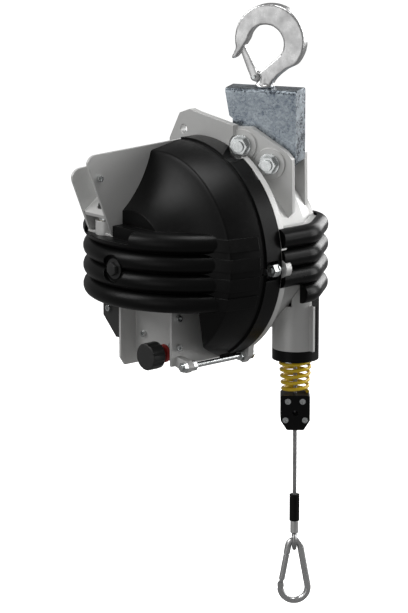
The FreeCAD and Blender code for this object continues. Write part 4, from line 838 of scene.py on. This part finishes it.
def make_latch():
    """A pressed channel that turns on the pin and reaches to the hook's tip."""
    lean = Vector((-math.sin(LATCH_LEAN), math.cos(LATCH_LEAN)))
    side = Vector((lean.y, -lean.x))
    pin = Vector(LATCH_PIN)
    outline = [tuple(pin + lean * LATCH_REACH * share + side * across) for share, across in LATCH_EDGE]
    turn = 90 + math.degrees(LATCH_LEAN)
    outline += arc_points(LATCH_PIN, LATCH_FOOT_RADIUS, turn + 60, turn + 300, 12)
    latch = hook_slab("hook_latch_plate", outline, LATCH_HALF_WIDTH)
    hollow = [tuple(pin + lean * along + side * across) for along, across in LATCH_HOLLOW]
    without(latch, hook_slab("hollow", hollow, LATCH_HOLLOW_HALF))
    room = arc_points(LATCH_PIN, LATCH_ROOM_RADIUS, 0, 345, 23)
    without(latch, hook_slab("room", room, LATCH_ROOM_HALF))
    modified(latch, "BEVEL", width=0.6 * MM, segments=2, limit_method="ANGLE")
    finished(latch, "bright_wire", "latch", "hook_latch")


# ---- load adjuster's box ----------------------------------------------------------------
BOX_LEFT_X = -76
BOX_SHEET = 4
BOX_BACK_Y = -20
BOX_FLOOR_TOP = BOX_FLOOR_Z + 1.3      # the walls stand on the ribs' flat seat
BOX_FLOOR_SHEET = 3
# side walls as outlines of Y and Z, with the radius of each rounded corner
RIGHT_WALL = [(-8, 156.5), (-191, 151.5), (-196, 140), (-151, 34), (-148, BOX_FLOOR_TOP),
              (-8, BOX_FLOOR_TOP)]
RIGHT_CORNERS = (((-191, 151.5), 9), ((-196, 140), 7))
LEFT_WALL = [(BOX_BACK_Y, 132), (-176, 124), (-182, 112), (-152, 40), (-148, BOX_FLOOR_TOP),
             (BOX_BACK_Y, BOX_FLOOR_TOP)]
LEFT_CORNERS = (((-176, 124), 9), ((-182, 112), 8))
WEB = [(-160, 62), (-60, 136), (-57, 132), (-158, 57)]
BOX_FOOT = [(BOX_X - 1, -148), (BOX_X + 16, -138), (BOX_X + 5, -112), (BOX_X - 1, -108)]
WORM_X, WORM_Y = -48.5, -141
WORM_BOSS_RADIUS, WORM_BOSS_TOP = 14, 51
WORM_BORE_RADIUS, WORM_BORE_TOP = 11.1, 125
SLOT_SHARES = (0.25, 0.5, 0.75)        # where the slots lie along the web
SLOT_X, SLOT_HALF, SLOT_HALF_HEIGHT = (WORM_X + 8, WORM_X + 17), 7, 12


def side_wall(name, outline, x0, x1, corners=()):
    """An upright wall across X; the named corners of its outline are rounded."""
    wall = slab(name, [(x0, y, z) for y, z in outline], (x1 - x0, 0, 0))
    bpy.ops.object.mode_set(mode="EDIT")
    for (y, z), radius in corners:
        pick("EDGE", lambda p, n: abs(n.x) > 0.9 and math.hypot(p.y - y, p.z - z) < 0.5)
        bpy.ops.mesh.bevel(offset=radius * MM, segments=6)
    bpy.ops.object.mode_set(mode="OBJECT")
    return wall


def make_adjuster_box():
    floor = BOX_FLOOR_TOP
    box = side_wall("adjuster_box", RIGHT_WALL, BOX_X - BOX_SHEET, BOX_X, RIGHT_CORNERS)
    joined(box, side_wall("left", LEFT_WALL, BOX_LEFT_X, BOX_LEFT_X + BOX_SHEET, LEFT_CORNERS))
    joined(box, block("plate", (BOX_LEFT_X, -150, floor),
                      (BOX_X - 0.5, BOX_BACK_Y, floor + BOX_FLOOR_SHEET)))
    joined(box, slab("foot", [(x, y, floor) for x, y in BOX_FOOT], (0, 0, BOX_SHEET)))
    joined(box, side_wall("web", WEB, BOX_LEFT_X + 1, BOX_X - 1))
    joined(box, block("back", (BOX_LEFT_X, BOX_BACK_Y - BOX_SHEET, floor), (BOX_X, BOX_BACK_Y, 134)))
    joined(box, rod("boss", WORM_BOSS_RADIUS, (WORM_X, WORM_Y, floor - 3),
                    (WORM_X, WORM_Y, WORM_BOSS_TOP)))
    without(box, rod("bore", WORM_BORE_RADIUS, (WORM_X, WORM_Y, floor - 8),
                     (WORM_X, WORM_Y, WORM_BORE_TOP)))
    (y0, z0), (y1, z1) = WEB[:2]
    for share in SLOT_SHARES:
        y, z = y0 + (y1 - y0) * share, z0 + (z1 - z0) * share
        without(box, block("slot", (SLOT_X[0], y - SLOT_HALF, z - SLOT_HALF_HEIGHT),
                           (SLOT_X[1], y + SLOT_HALF, z + SLOT_HALF_HEIGHT)))
    modified(box, "BEVEL", width=0.9 * MM, segments=2, limit_method="ANGLE",
             angle_limit=math.radians(50))
    finished(box, "cast_aluminium", "housing", "adjuster_housing")


add_camera()
make_rope()
make_cover()
make_cover_bolt()
make_hook()
make_latch()
make_adjuster_box()
add_studio()
add_floor()
paint_nodes()
